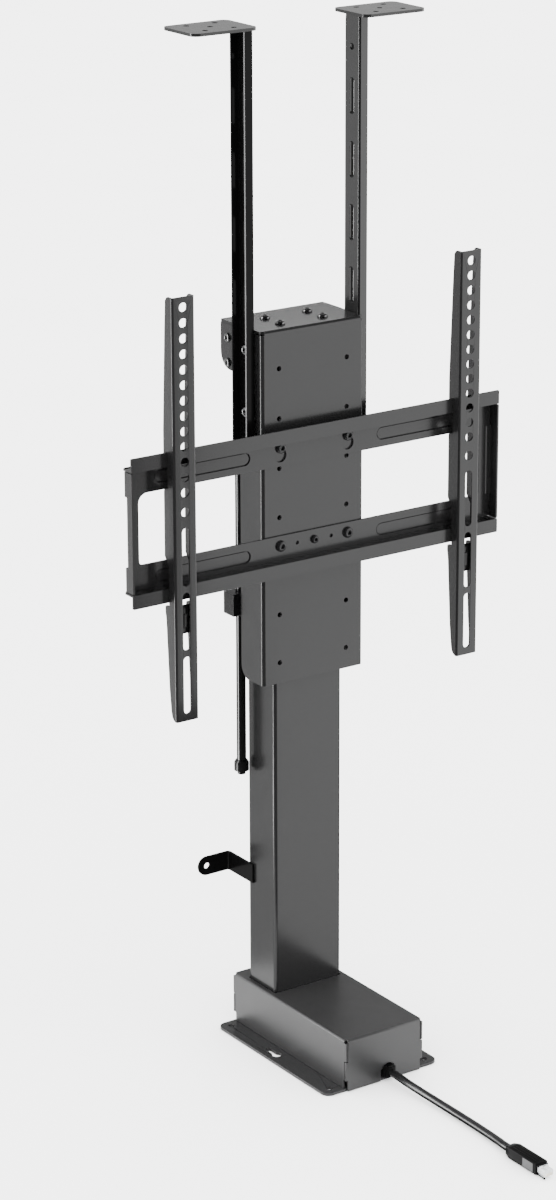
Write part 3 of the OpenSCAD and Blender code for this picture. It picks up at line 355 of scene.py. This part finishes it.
def round_edges(piece, radius):
    """Joins a piece's loose triangles and rounds its sharp edges so that they catch the light."""
    weld = piece.modifiers.new("joined", "WELD")
    weld.merge_threshold = SAME
    bevel = piece.modifiers.new("rounded", "BEVEL")
    bevel.width = radius * MM
    bevel.segments = 2
    bevel.limit_method = "ANGLE"
    bevel.angle_limit = SHARP_ANGLE
    bevel.use_clamp_overlap = True
    bevel.harden_normals = False
    smooth = piece.modifiers.new("smoothed", "WEIGHTED_NORMAL")
    smooth.keep_sharp = False


def round_nodes():
    """Rounds the edges of the nodes that stay in view."""
    for radius, names in EDGE_RADIUS.items():
        for name in names:
            round_edges(NODES[name], radius)


# New meshes

def mesh_object(name, mesh, material):
    """Turns a bmesh into an object with one material."""
    data = bpy.data.meshes.new(name)
    mesh.to_mesh(data)
    mesh.free()
    data.materials.append(material)
    return placed(name, data)


def mesh_piece(name, mesh, material, body):
    """A smooth-shaded piece that rides on a body."""
    bmesh.ops.recalc_face_normals(mesh, faces=mesh.faces)
    piece = mesh_object(name, mesh, material)
    for face in piece.data.polygons:
        face.use_smooth = True
    piece.data.set_sharp_from_angle(angle=SHARP_ANGLE)
    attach(piece, body)
    return piece


def stand_for(piece, node):
    """Hides the node whose place a piece takes."""
    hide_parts(node)


def newer(mesh, older):
    """The corners that were made after the older ones."""
    return [vert for vert in mesh.verts if vert not in older]


def make_hexagonal(verts, place, radius):
    """Pulls the ring of the given radius in to a six-sided one."""
    back = place.inverted()
    for vert in verts:
        local = back @ vert.co
        if abs(math.hypot(local.x, local.y) - radius * MM) > CLOSE:
            continue
        side = math.atan2(local.y, local.x) % (math.pi / 3) - math.pi / 6
        pull = math.cos(math.pi / 6) / math.cos(side)
        vert.co = place @ Vector((local.x * pull, local.y * pull, local.z))


def spun(mesh, profile, at, axis, steps=36, hexagon=None):
    """Spins a profile of (radius, height) round an axis.

    Rings of the hexagon radius become six-sided.
    """
    turn = Vector(UP).rotation_difference(Vector(axis)).to_matrix().to_4x4()
    place = Matrix.Translation(point(*at)) @ turn
    older = set(mesh.verts)
    verts = [mesh.verts.new(place @ Vector((radius * MM, 0, height * MM))) for radius, height in profile]
    edges = [mesh.edges.new(pair) for pair in zip(verts, verts[1:])]
    bmesh.ops.spin(mesh, geom=verts + edges, cent=place.translation, axis=Vector(axis),
                   angle=math.tau, steps=steps, use_merge=True)
    bmesh.ops.remove_doubles(mesh, verts=newer(mesh, older), dist=JOINED)
    if hexagon is not None:
        make_hexagonal(newer(mesh, older), place, hexagon)


def disc(radius, height):
    """The profile of a plain disc."""
    return [(0, 0), (radius, 0), (radius, height), (0, height)]


def round_off(mesh, edges, radius, segments=3):
    """Rounds edges to a radius."""
    bmesh.ops.bevel(mesh, geom=edges, offset=radius * MM, segments=segments,
                    affect="EDGES", profile=0.5, material=-1)


def linked(verts, kind):
    """The edges or the faces at some corners, each once and in a fixed order."""
    return list(dict.fromkeys(part for vert in verts for part in getattr(vert, kind)))


def placed_cube(mesh, low, high):
    """The corners of a new box between two places given in metres."""
    made = bmesh.ops.create_cube(mesh, size=1)["verts"]
    for vert in made:
        vert.co = Vector([(low[i] + high[i]) / 2 + vert.co[i] * (high[i] - low[i]) for i in range(3)])
    return made


def soft_box(mesh, low, high, radius, segments=3):
    """A box from corner to corner with every edge rounded."""
    made = placed_cube(mesh, point(*low), point(*high))
    round_off(mesh, linked(made, "link_edges"), radius, segments)


def centred_box(mesh, x, half, y_ends, z_ends, radius, segments=3):
    """A rounded box that reaches as far to the left of x as to the right."""
    soft_box(mesh, (x - half, y_ends[0], z_ends[0]), (x + half, y_ends[1], z_ends[1]), radius, segments)


def tapered_box(mesh, low, high, taper_length, taper, radius):
    """A box with rounded edges whose rear end narrows to the given share."""
    low, high = point(*low), point(*high)
    middle = (low + high) / 2
    made = placed_cube(mesh, low, high)
    whole = made + linked(made, "link_edges") + linked(made, "link_faces")
    cut = bmesh.ops.bisect_plane(mesh, geom=whole, plane_co=(0, high.y - taper_length * MM, 0), plane_no=REAR)
    parts = dict.fromkeys(cut["geom"] + cut["geom_cut"])
    verts = [part for part in parts if isinstance(part, bmesh.types.BMVert)]
    for vert in verts:
        if vert.co.y > high.y - SAME:
            vert.co.x = middle.x + (vert.co.x - middle.x) * taper
            vert.co.z = middle.z + (vert.co.z - middle.z) * taper
    round_off(mesh, linked(verts, "link_edges"), radius)


# Lid bars

OUTER_BEND, INNER_BEND = 2.4, 0.8
BEND_STEPS = 5
FLAT_ANGLE = math.radians(1)
BAR_FINISH = {"left": "shaded_coat", "right": "bar_coat"}
# Material slots of the lid bars: painted highlight on the front flange's tip, painted shade inside the rear
# flange.
HIGHLIGHT_TIP_SLOT, SHADED_INSIDE_SLOT = 1, 2


def upright_edges(mesh, places):
    """The long upright edges that stand at the given (x, y) places."""
    found = []
    for edge in mesh.edges:
        foot, top = (vert.co for vert in edge.verts)
        if math.hypot(foot.x - top.x, foot.y - top.y) > SAME:
            continue
        if any(math.hypot(foot.x - x * MM, foot.y - y * MM) < NEARBY for x, y in places):
            found.append(edge)
    return found


def bend_corners(mesh, side):
    """Rounds the long corners of a lid bar as folding does."""
    outside = [(side * LID_BAR_WEB, y) for y in (LID_BAR_FRONT, LID_BAR_REAR)]
    inside = [(side * (LID_BAR_WEB + SHEET_T), y) for y in (LID_BAR_FRONT + SHEET_T, LID_BAR_REAR - SHEET_T)]
    for places, radius in ((outside, OUTER_BEND), (inside, INNER_BEND)):
        round_off(mesh, upright_edges(mesh, places), radius, BEND_STEPS)


def mark_faces(mesh, side):
    """Gives the front flange's tip a painted highlight (a lighter, glossier coat) and the rear flange's
    inside painted shade (the darker shaded coat), each in a material slot of its own.
    """
    for face in mesh.faces:
        middle = face.calc_center_median()
        at_tip = abs(middle.x - side * LID_BAR_TIP * MM) < CLOSE
        if at_tip and middle.y < (LID_BAR_FRONT + SHEET_T) * MM:
            face.material_index = HIGHLIGHT_TIP_SLOT
        # Painted shade: the rear flange's inside face takes the darker shaded coat.
        if abs(middle.y - (LID_BAR_REAR - SHEET_T) * MM) < CLOSE:
            face.material_index = SHADED_INSIDE_SLOT


def bent_lid_bars(materials):
    """Copies of the lid bars with the bend radii of folded sheet."""
    for label, side in SIDES.items():
        mesh = bmesh.new()
        mesh.from_mesh(NODES["lid_bar_" + label].data)
        bmesh.ops.remove_doubles(mesh, verts=mesh.verts, dist=SAME)
        bmesh.ops.dissolve_limit(mesh, angle_limit=FLAT_ANGLE, verts=mesh.verts, edges=mesh.edges)
        bend_corners(mesh, side)
        mark_faces(mesh, side)
        bar = mesh_piece("bent_lid_bar_" + label, mesh, materials[BAR_FINISH[label]], "lid_support_" + label)
        # Slot for the painted highlight on the front flange's tip.
        bar.data.materials.append(materials["painted_highlight_coat"])
        # Slot for the painted shade inside the rear flange.
        bar.data.materials.append(materials["shaded_coat"])
        round_edges(bar, SHEET_EDGE)
        stand_for(bar, "lid_bar_" + label)


# Corner welds of the crossbar

BEAD_LEFT, BEAD_RIGHT = 5, 3.6
BEAD_FRONT, BEAD_REAR = 2.2, 0.2
BEAD_FOOT, BEAD_TOP = 0.2, 2.1


def crossbar_corner_welds(materials):
    """Weld beads that close the reliefs at the four inner corners of the crossbar tray."""
    mesh = bmesh.new()
    for x in (-CORNER_X, CORNER_X):
        for z in CORNER_LEVELS:
            low = (x - BEAD_LEFT, PLATE_FRONT - BEAD_FRONT, z + BEAD_FOOT)
            high = (x + BEAD_RIGHT, PLATE_FRONT - BEAD_REAR, z + BEAD_TOP)
            soft_box(mesh, low, high, radius=0.5)
    beads = mesh_piece("crossbar_corner_welds", mesh, materials["rod_coat"], "carriage")


# Screws

SOCKET_SHARE, RIM_SHARE, LIP_SHARE = 0.46, 0.07, 0.06
WALL_SHARE, FLOOR_SHARE = 0.3, 0.2
DOME_FOOT, DOME_STEPS = 0.22, 6
HEAD_EDGE_W, HEAD_EDGE_H = 0.25, 0.2
SHANK_EDGE, NUT_EDGE, WASHER_EDGE = 0.4, 0.35, 0.3
CAP_SCREW_X, CAP_SCREW_Y = 25, 13
BAR_SCREW_X, BAR_SCREW_TOP, BAR_SCREW_LOW = 40, 638, 538
BAR_HEAD_R, CENTRE_HEAD_R, BAR_SCREW_END = 5.6, 4.2, 4
EAR_SCREW_LEVELS = (740, 715)
LID_SCREW_LEVELS = (734, 672)
LID_NUT_T, HEAD_GAP = 3.9, 0.1
SPACER_R, SPACER_T, WASHER_R = 3.1, 2.2, 5.6
HOUSING_SCREW_X, HOUSING_SCREW_Z = 27.25, 14


def button_head(mesh, at, axis, head_r, head_h, shank_r, shank_l):
    """A domed head with a six-sided socket and a shank."""
    socket = head_r * SOCKET_SHARE
    rim = socket + head_r * RIM_SHARE
    shank = [(0, -shank_l), (shank_r - SHANK_EDGE, -shank_l), (shank_r, -shank_l + SHANK_EDGE), (shank_r, 0)]
    seat = [(head_r - HEAD_EDGE_W, 0), (head_r, HEAD_EDGE_H)]
    dome = []
    for step in range(DOME_STEPS + 1):
        turn = step * math.pi / (2 * DOME_STEPS)
        rise = DOME_FOOT + (1 - DOME_FOOT) * math.sin(turn)
        dome.append((rim + (head_r - rim) * math.cos(turn), head_h * rise))
    recess = [(socket, head_h - head_r * LIP_SHARE), (socket, head_h * WALL_SHARE), (0, head_h * FLOOR_SHARE)]
    spun(mesh, shank + seat + dome + recess, at, axis, hexagon=socket)


def hex_nut(mesh, at, axis, radius, height):
    """A six-sided nut with bevelled ends."""
    profile = [(0, 0), (radius - NUT_EDGE, 0), (radius, NUT_EDGE), (radius, height - NUT_EDGE),
               (radius - NUT_EDGE, height), (0, height)]
    spun(mesh, profile, at, axis, steps=6)


def screw_set(name, mesh, material, node, body="carriage"):
    """Makes one piece of the screws in a bmesh, in place of a node."""
    stand_for(mesh_piece(name, mesh, material, body), node)


def cap_screws(materials):
    """Four screws on the cap of the carriage plate."""
    mesh = bmesh.new()
    for x in (-CAP_SCREW_X, CAP_SCREW_X):
        for y in (-CAP_SCREW_Y, CAP_SCREW_Y):
            button_head(mesh, (x, COLUMN_Y + y, CAP_TOP), UP, head_r=5.2, head_h=3.2, shank_r=3, shank_l=12)
    screw_set("cap_button_screws", mesh, materials["screw"], "cap_screws")


def plate_screw(mesh, x, z, head_r):
    """A screw through the crossbar and the carriage plate, with its nut."""
    grip = SHEET_T + CARRIAGE_T + BAR_SCREW_END
    button_head(mesh, (x, PLATE_FRONT - SHEET_T, z), FRONT, head_r, head_h=3.2, shank_r=2.5, shank_l=grip)
    hex_nut(mesh, (x, PLATE_FRONT + CARRIAGE_T, z), REAR, radius=5.1, height=3.4)


def crossbar_screws(materials):
    """Two screws in the crossbar's upper rail and three in the lower one."""
    mesh = bmesh.new()
    for x in (-BAR_SCREW_X, BAR_SCREW_X):
        plate_screw(mesh, x, BAR_SCREW_TOP, BAR_HEAD_R)
    screw_set("crossbar_top_screws", mesh, materials["shaded_screw"], "crossbar_upper_screws")
    mesh = bmesh.new()
    for x, head_r in ((-BAR_SCREW_X, BAR_HEAD_R), (0, CENTRE_HEAD_R), (BAR_SCREW_X, BAR_HEAD_R)):
        plate_screw(mesh, x, BAR_SCREW_LOW, head_r)
    screw_set("crossbar_foot_screws", mesh, materials["shaded_screw"], "crossbar_lower_screws")


def ear_screws(materials, label, side):
    """Two screws in the ear of the carriage plate."""
    mesh = bmesh.new()
    for z in EAR_SCREW_LEVELS:
        button_head(mesh, (side * EAR_X, ROD_Y, z), (side, 0, 0), head_r=4.6, head_h=2.8,
                    shank_r=2.2, shank_l=5.9)
    screw_set("ear_button_screws_" + label, mesh, materials["screw"], "ear_screws_" + label)


def lid_bar_screws(materials, label, side):
    """Two screws through the slots of a lid bar, each with a spacer, a washer and a nut."""
    mesh = bmesh.new()
    out = (side, 0, 0)
    seat = LID_BAR_WEB + SHEET_T + HEAD_GAP
    grip = seat - (PLATE_HALF - CARRIAGE_T)
    washer_t = seat - SPACER_T - PLATE_HALF
    washer = [(0, 0), (WASHER_R - WASHER_EDGE, 0), (WASHER_R, WASHER_EDGE), (WASHER_R, washer_t),
              (0, washer_t)]
    for z in LID_SCREW_LEVELS:
        button_head(mesh, (side * seat, LID_SLOT_Y, z), out, head_r=5.6, head_h=3,
                    shank_r=2.5, shank_l=grip + LID_NUT_T)
        spun(mesh, disc(SPACER_R, SPACER_T), (side * (seat - SPACER_T), LID_SLOT_Y, z), out)
        spun(mesh, washer, (side * PLATE_HALF, LID_SLOT_Y, z), out)
        hex_nut(mesh, (side * (seat - grip - LID_NUT_T), LID_SLOT_Y, z), out, radius=4.8,
                height=LID_NUT_T)
    screw_set("lid_bar_button_screws_" + label, mesh, materials["screw"], "lid_bar_screws_" + label)


def side_screws(materials):
    """Screws of the ears and of the lid bars, on both sides."""
    for label, side in SIDES.items():
        ear_screws(materials, label, side)
        lid_bar_screws(materials, label, side)


def rear_housing_screws(materials):
    """Two screws in the rear panel of the housing."""
    mesh = bmesh.new()
    for x in (-HOUSING_SCREW_X, HOUSING_SCREW_X):
        button_head(mesh, (x, PANEL_REAR, HOUSING_SCREW_Z), REAR, head_r=3.2, head_h=2,
                    shank_r=1.5, shank_l=9)
    screw_set("housing_button_screws", mesh, materials["screw"], "housing_screws", "base")


# Arm catches

CATCH_LEFT, CATCH_RIGHT = 9.6, 7.5
CATCH_NEAR, CATCH_FAR = ARM_FRONT + 4.2, ARM_FRONT + 10.4
CATCH_FOOT, CATCH_TOP = 479, 504
PIN_DEPTH, PIN_LEVELS = 3, (479.4, 503.6)
PIN_R, PIN_CUT_R, PIN_CUT_L = 2.4, 0.2, 0.3
TAB_HALF, TAB_NEAR, TAB_FAR = 3, CATCH_NEAR - 1.2, CATCH_NEAR + 1
TAB_LEVELS = (484, 498)


def arm_catches(materials):
    """Spring catch inside each arm, just under the lower lip of the crossbar."""
    pin = [(0, 0), (PIN_R - PIN_CUT_R, 0), (PIN_R, PIN_CUT_L), (PIN_R, ARM_INSIDE - PIN_CUT_L),
           (PIN_R - PIN_CUT_R, ARM_INSIDE), (0, ARM_INSIDE)]
    for label, x in ARM_CENTRES.items():
        mesh = bmesh.new()
        low, high = (x - CATCH_LEFT, CATCH_NEAR, CATCH_FOOT), (x + CATCH_RIGHT, CATCH_FAR, CATCH_TOP)
        soft_box(mesh, low, high, radius=1)
        for z in PIN_LEVELS:
            spun(mesh, pin, (x - ARM_INSIDE / 2, CATCH_NEAR + PIN_DEPTH, z), RIGHT, steps=24)
        centred_box(mesh, x, TAB_HALF, (TAB_NEAR, TAB_FAR), TAB_LEVELS, radius=0.6)
        catch = mesh_piece("arm_catch_" + label, mesh, materials["plastic"], "screen_arm_" + label)


# Cord and plug

CORD_DIAMETER = 8
CORD_X, CORD_Z = 5, 10
GLAND_FRONT = -106
PLUG_X, PLUG_Z, PLUG_BACK = 6.5, 5.5, -296
CORD_ROUTE = [
    (CORD_X, GLAND_FRONT, CORD_Z), (CORD_X, -114, CORD_Z), (6, -140, 8), (9, -180, 5.4),
    (10, -215, 4.6), (9.5, -250, 4.6), (8, -276, 5), (PLUG_X, -288, PLUG_Z), (PLUG_X, PLUG_BACK, PLUG_Z),
]
LEG_STEPS = 4
PLUG_BODY_BACK = PLUG_BACK - 0.5
PLUG_BODY_FRONT = PLUG_BACK - 49.5
PLUG_HALF_W, PLUG_TOP, PLUG_FOOT = 7.2, 11.8, 0.2
RIB_PITCH, RIB_HALF = 3.2, 0.45
SIDE_PANEL_SINK, SIDE_PANEL_T = 0.15, 0.4
NOSE_BACK, NOSE_FRONT = PLUG_BODY_FRONT + 2, PLUG_BODY_FRONT - 12
NOSE_FOOT, NOSE_TOP, NOSE_HALF = 2.6, 8.4, 4.9
LATCH_HALF, LATCH_TOP = 2.2, NOSE_TOP + 1.4
BLADES, BLADES_LEFT, BLADE_PITCH, BLADE_W = 6, 3.4, 1.27, 0.5
# Black bar and round tip under the nose's left edge: painted dark refraction of the clear nose's edge.
REFRACTION_LEFT, REFRACTION_RIGHT, REFRACTION_TIP_LEFT, REFRACTION_TIP_RIGHT = 6.2, 5.2, 6.7, 4.8


def curve_place(before, start, end, after, share):
    """A place between start and end on a smooth curve through four places."""
    slope = (end - before) * share
    bend = (2 * before - 5 * start + 4 * end - after) * share * share
    twist = (3 * start - before - 3 * end + after) * share ** 3
    return 0.5 * (2 * start + slope + bend + twist)


def cord_line():
    """The cord's centre line: straight first and last legs, a smooth curve between them."""
    route = [point(*place) for place in CORD_ROUTE]
    last = len(route) - 1
    line = []
    for leg in range(last):
        for step in range(LEG_STEPS):
            share = step / LEG_STEPS
            if leg in (0, last - 1):
                line.append(route[leg].lerp(route[leg + 1], share))
            else:
                line.append(curve_place(*route[leg - 1:leg + 3], share))
    line.append(route[last])
    return line


def plug_side_panels(materials):
    """Pale panel on each side of the plug body."""
    mesh = bmesh.new()
    for side in (-1, 1):
        inner = PLUG_X + side * (PLUG_HALF_W - SIDE_PANEL_SINK)
        left, right = sorted((inner, inner + side * SIDE_PANEL_T))
        soft_box(mesh, (left, PLUG_BODY_FRONT + 4.5, PLUG_FOOT + 1),
                 (right, PLUG_BODY_FRONT + 20, PLUG_TOP - 1.2), radius=0.15, segments=2)
    panel = mesh_piece("plug_side_panels", mesh, materials["pale_panel"], "base")
    return panel


def plug_body(materials):
    """Moulded plug body: narrowed rear end, ribbed top, pale panel on each side."""
    mesh = bmesh.new()
    x, back, front = PLUG_X, PLUG_BODY_BACK, PLUG_BODY_FRONT
    tapered_box(mesh, (x - PLUG_HALF_W, front, PLUG_FOOT), (x + PLUG_HALF_W, back, PLUG_TOP),
                taper_length=7, taper=0.74, radius=0.7)
    for rib in (x - RIB_PITCH, x, x + RIB_PITCH):
        centred_box(mesh, rib, RIB_HALF, (front + 5, back - 9), (PLUG_TOP - 0.6, PLUG_TOP + 0.25),
                    radius=0.2, segments=2)
    body = mesh_piece("plug_body", mesh, materials["plug_black"], "base")
    stand_for(body, "cord_plug")
    return [body, plug_side_panels(materials)]


def plug_blades(materials):
    """Row of metal blades inside the clear nose."""
    mesh = bmesh.new()
    for blade in range(BLADES):
        left = PLUG_X - BLADES_LEFT + blade * BLADE_PITCH
        low = (left, NOSE_FRONT - 0.05, NOSE_FOOT + 0.2)
        high = (left + BLADE_W, NOSE_FRONT + 5, NOSE_TOP - 2.2)
        soft_box(mesh, low, high, radius=0.1, segments=1)
    blades = mesh_piece("plug_blades", mesh, materials["bronze"], "base")
    return blades


def plug_painted_refraction_and_tab(materials):
    """Black bar with a round tip under the nose's left edge, a painted dark refraction of the clear nose's
    edge, and the black tab over the nose's root.
    """
    mesh = bmesh.new()
    # Painted dark refraction: the black bar and its round tip under the nose.
    soft_box(mesh, (PLUG_X - REFRACTION_LEFT, NOSE_FRONT + 0.4, NOSE_FOOT - 1.7),
             (PLUG_X - REFRACTION_RIGHT, NOSE_BACK, NOSE_FOOT - 0.8), radius=0.2, segments=2)
    soft_box(mesh, (PLUG_X - REFRACTION_TIP_LEFT, NOSE_FRONT - 0.6, NOSE_FOOT - 2.1),
             (PLUG_X - REFRACTION_TIP_RIGHT, NOSE_FRONT + 1.4, NOSE_FOOT - 0.3), radius=0.5)
    # The black tab over the nose's root.
    centred_box(mesh, PLUG_X, 6, (NOSE_BACK - 4.6, NOSE_BACK), (NOSE_TOP + 0.6, NOSE_TOP + 2.4), radius=0.4)
    key = mesh_piece("plug_painted_refraction_and_tab", mesh, materials["plug_black"], "base")
    return key


def plug_nose(materials):
    """Clear connector nose with its latch, the metal blades inside it, and the black bar of painted dark
    refraction under its left edge.
    """
    x, front, top = PLUG_X, NOSE_FRONT, NOSE_TOP
    mesh = bmesh.new()
    centred_box(mesh, x, NOSE_HALF, (front, NOSE_BACK), (NOSE_FOOT, top), radius=0.5)
    centred_box(mesh, x, NOSE_HALF, (front + 7, NOSE_BACK), (top - 0.6, LATCH_TOP), radius=0.4)
    centred_box(mesh, x, LATCH_HALF, (front + 1.5, front + 9), (top + 0.4, LATCH_TOP), radius=0.3)
    centred_box(mesh, x, LATCH_HALF, (front + 0.5, front + 2.5), (top - 0.4, LATCH_TOP), radius=0.3)
    nose = mesh_piece("plug_nose", mesh, materials["clear"], "base")
    stand_for(nose, "plug_insert")
    return [nose, plug_blades(materials), plug_painted_refraction_and_tab(materials)]


def control_cord(materials):
    """The cord along its line, with the pieces of its plug."""
    line = cord_line()
    data = bpy.data.curves.new("cord", "CURVE")
    data.dimensions = "3D"
    data.bevel_depth = CORD_DIAMETER / 2 * MM
    data.bevel_resolution = 6
    data.use_fill_caps = True
    spline = data.splines.new("POLY")
    spline.points.add(len(line) - 1)
    for target, place in zip(spline.points, line):
        target.co = (*place, 1)
    spline.use_smooth = True
    cord = placed("cord", data)
    data.materials.append(materials["jacket"])
    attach(cord, "base")
    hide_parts("control_cord")
    plug_body(materials) + plug_nose(materials)


# Gland

GLAND_FLANGE, GLAND_STEP, GLAND_NECK, GLAND_LATCH = 6.4, 5.7, 4.9, 3.2
PANEL_INSIDE = PANEL_FRONT + SHEET_T


def gland_block(mesh, half, front, back, radius):
    """One square step of the gland, round the cord's exit."""
    centred_box(mesh, CORD_X, half, (front, back), (CORD_Z - half, CORD_Z + half), radius)


def stepped_gland(materials):
    """Square moulded gland that narrows in two steps, with a latch on top and a flange inside."""
    mesh = bmesh.new()
    gland_block(mesh, GLAND_FLANGE, PANEL_FRONT - 1.5, PANEL_FRONT, radius=0.4)
    gland_block(mesh, GLAND_STEP, PANEL_FRONT - 3.6, PANEL_FRONT - 1.2, radius=0.5)
    gland_block(mesh, GLAND_NECK, GLAND_FRONT, PANEL_FRONT - 3.2, radius=0.5)
    gland_block(mesh, GLAND_NECK, PANEL_FRONT - 0.2, PANEL_INSIDE + 0.2, radius=0.2)
    gland_block(mesh, GLAND_FLANGE, PANEL_INSIDE, PANEL_INSIDE + 3, radius=0.4)
    centred_box(mesh, CORD_X, GLAND_LATCH, (PANEL_FRONT - 4.6, PANEL_FRONT - 1.2),
                (CORD_Z + 4.4, CORD_Z + 6.7), radius=0.4)
    gland = mesh_piece("stepped_gland", mesh, materials["plug_black"], "base")
    stand_for(gland, "cable_gland")


# Studio: lengths in metres, but for the card under the cord

SKY = 5.5
FLOOR_HALF, FLOOR_DROP = 30, 0.0004
LYING_STEPS, LYING_Z = 4, 0.001
NEAR_RING, NEAR_TOP = 0.62, 1.3
OVERHEAD_HALF, OVERHEAD_Z = 1.5, 1.9
UNDER_CORD_HALF_MM, UNDER_CORD_Z_MM = 14, 0.6


def card_finish(name, glow):
    """Matt card, dark, or shining evenly where glow is more than nothing."""
    finish = Finish(name)
    finish.colour(finish.ramp(finish.noise(scale=2, detail=2), grey(0.004), grey(0.008)))
    finish.set(Roughness=1.0, Specular_IOR_Level=0.0, Emission_Color=(1, 1, 1, 1), Emission_Strength=glow)
    return finish.material


def reflection_card(name, corners, material):
    """A card that only mirror-like surfaces see, as a photographer sets flags and strips."""
    mesh = bmesh.new()
    mesh.faces.new([mesh.verts.new(corner) for corner in corners])
    card = mesh_object(name, mesh, material)
    card.visible_camera = card.visible_diffuse = card.visible_shadow = False
    card.visible_transmission = card.visible_volume_scatter = False


def round_about(azimuth, distance, height):
    """A place round the lift: azimuth 0 is straight in front, 90 on the right."""
    angle = math.radians(azimuth)
    return (math.sin(angle) * distance, -math.cos(angle) * distance, height)


def upright_card(name, azimuth_a, azimuth_b, distance, low, high, material):
    """A card that stands between two azimuths, from one height to another."""
    places = ((azimuth_a, low), (azimuth_b, low), (azimuth_b, high), (azimuth_a, high))
    reflection_card(name, [round_about(azimuth, distance, z) for azimuth, z in places], material)


def lying_card(name, azimuth_a, azimuth_b, near, far, material):
    """A card on the floor, from one distance to another, in steps round the lift."""
    turns = [azimuth_a + (azimuth_b - azimuth_a) * step / LYING_STEPS for step in range(LYING_STEPS + 1)]
    reflection_card(name, [round_about(turn, near, LYING_Z) for turn in turns]
                    + [round_about(turn, far, LYING_Z) for turn in reversed(turns)], material)


def cord_cards(material):
    """An upright card above the cord and a narrow one on the floor under it."""
    left, right, y, low, high = -0.3, 0.03, -0.125, 0.06, 0.35
    above = [(left, y, low), (right, y, low), (right, y, high), (left, y, high)]
    reflection_card("cord_flag", above, material)
    stops = (CORD_ROUTE[0], CORD_ROUTE[len(CORD_ROUTE) // 2], CORD_ROUTE[-1])
    outline = [(x + UNDER_CORD_HALF_MM, y) for x, y, z in stops]
    outline += [(x - UNDER_CORD_HALF_MM, y) for x, y, z in reversed(stops)]
    reflection_card("under_cord", [point(x, y, UNDER_CORD_Z_MM) for x, y in outline], material)


def reflection_cards():
    """The cards round the lift, set for the photograph's view."""
    dark = card_finish("dark_card", 0.0)
    half = card_finish("half_card", SKY * 0.3)
    dim = card_finish("dim_card", SKY * 0.11)
    pale = card_finish("pale_card", SKY * 0.17)
    strip = card_finish("strip_card", SKY * 7)
    upright_card("strip", -128, -104, NEAR_RING, 0.0, NEAR_TOP, strip)
    upright_card("left_flag", -102, -50, NEAR_RING, 0.0, NEAR_TOP, dark)
    upright_card("camera_flag", -50, 18, NEAR_RING, 0.0, NEAR_TOP, dark)
    cord_cards(dark)
    upright_card("left_rear_flag", -178, -116, 0.6, 0.12, NEAR_TOP, half)
    upright_card("upper_rear_flag", 95, 200, 1.25, 1.0, 1.88, pale)
    lying_card("left_rear_floor", -175, -115, 0.24, 1.05, half)
    upright_card("right_rear_flag", 95, 185, 1.2, 0.0, 1.0, dim)
    lying_card("rear_floor", 62, 183, 0.15, 1.3, dark)
    size = OVERHEAD_HALF
    overhead = [(-size, -size), (size, -size), (size, size), (-size, size)]
    reflection_card("overhead_flag", [(x, y, OVERHEAD_Z) for x, y in overhead], dark)
    upright_card("right_front_flag", 15, 95, 0.9, 1.25, 1.8, dark)


def studio_floor():
    """White floor, a little below the base so that the two don't share a plane."""
    mesh = bmesh.new()
    bmesh.ops.create_grid(mesh, x_segments=1, y_segments=1, size=FLOOR_HALF)
    floor = mesh_object("studio_floor", mesh, floor_finish())
    floor.location.z = -FLOOR_DROP


def studio_air():
    """Even white light from every side."""
    world = bpy.data.worlds.new("studio_air")
    world.use_nodes = True
    sky = world.node_tree.nodes["Background"]
    sky.inputs["Color"].default_value = (1, 1, 1, 1)
    sky.inputs["Strength"].default_value = SKY
    bpy.context.scene.world = world


photo_camera()
MATERIALS = make_materials()
control_cord(MATERIALS)
dress_nodes(MATERIALS)
round_nodes()
cap_screws(MATERIALS)
crossbar_screws(MATERIALS)
side_screws(MATERIALS)
rear_housing_screws(MATERIALS)
bent_lid_bars(MATERIALS)
crossbar_corner_welds(MATERIALS)
arm_catches(MATERIALS)
stepped_gland(MATERIALS)
studio_floor()
studio_air()
reflection_cards()

bpy.context.view_layer.update()
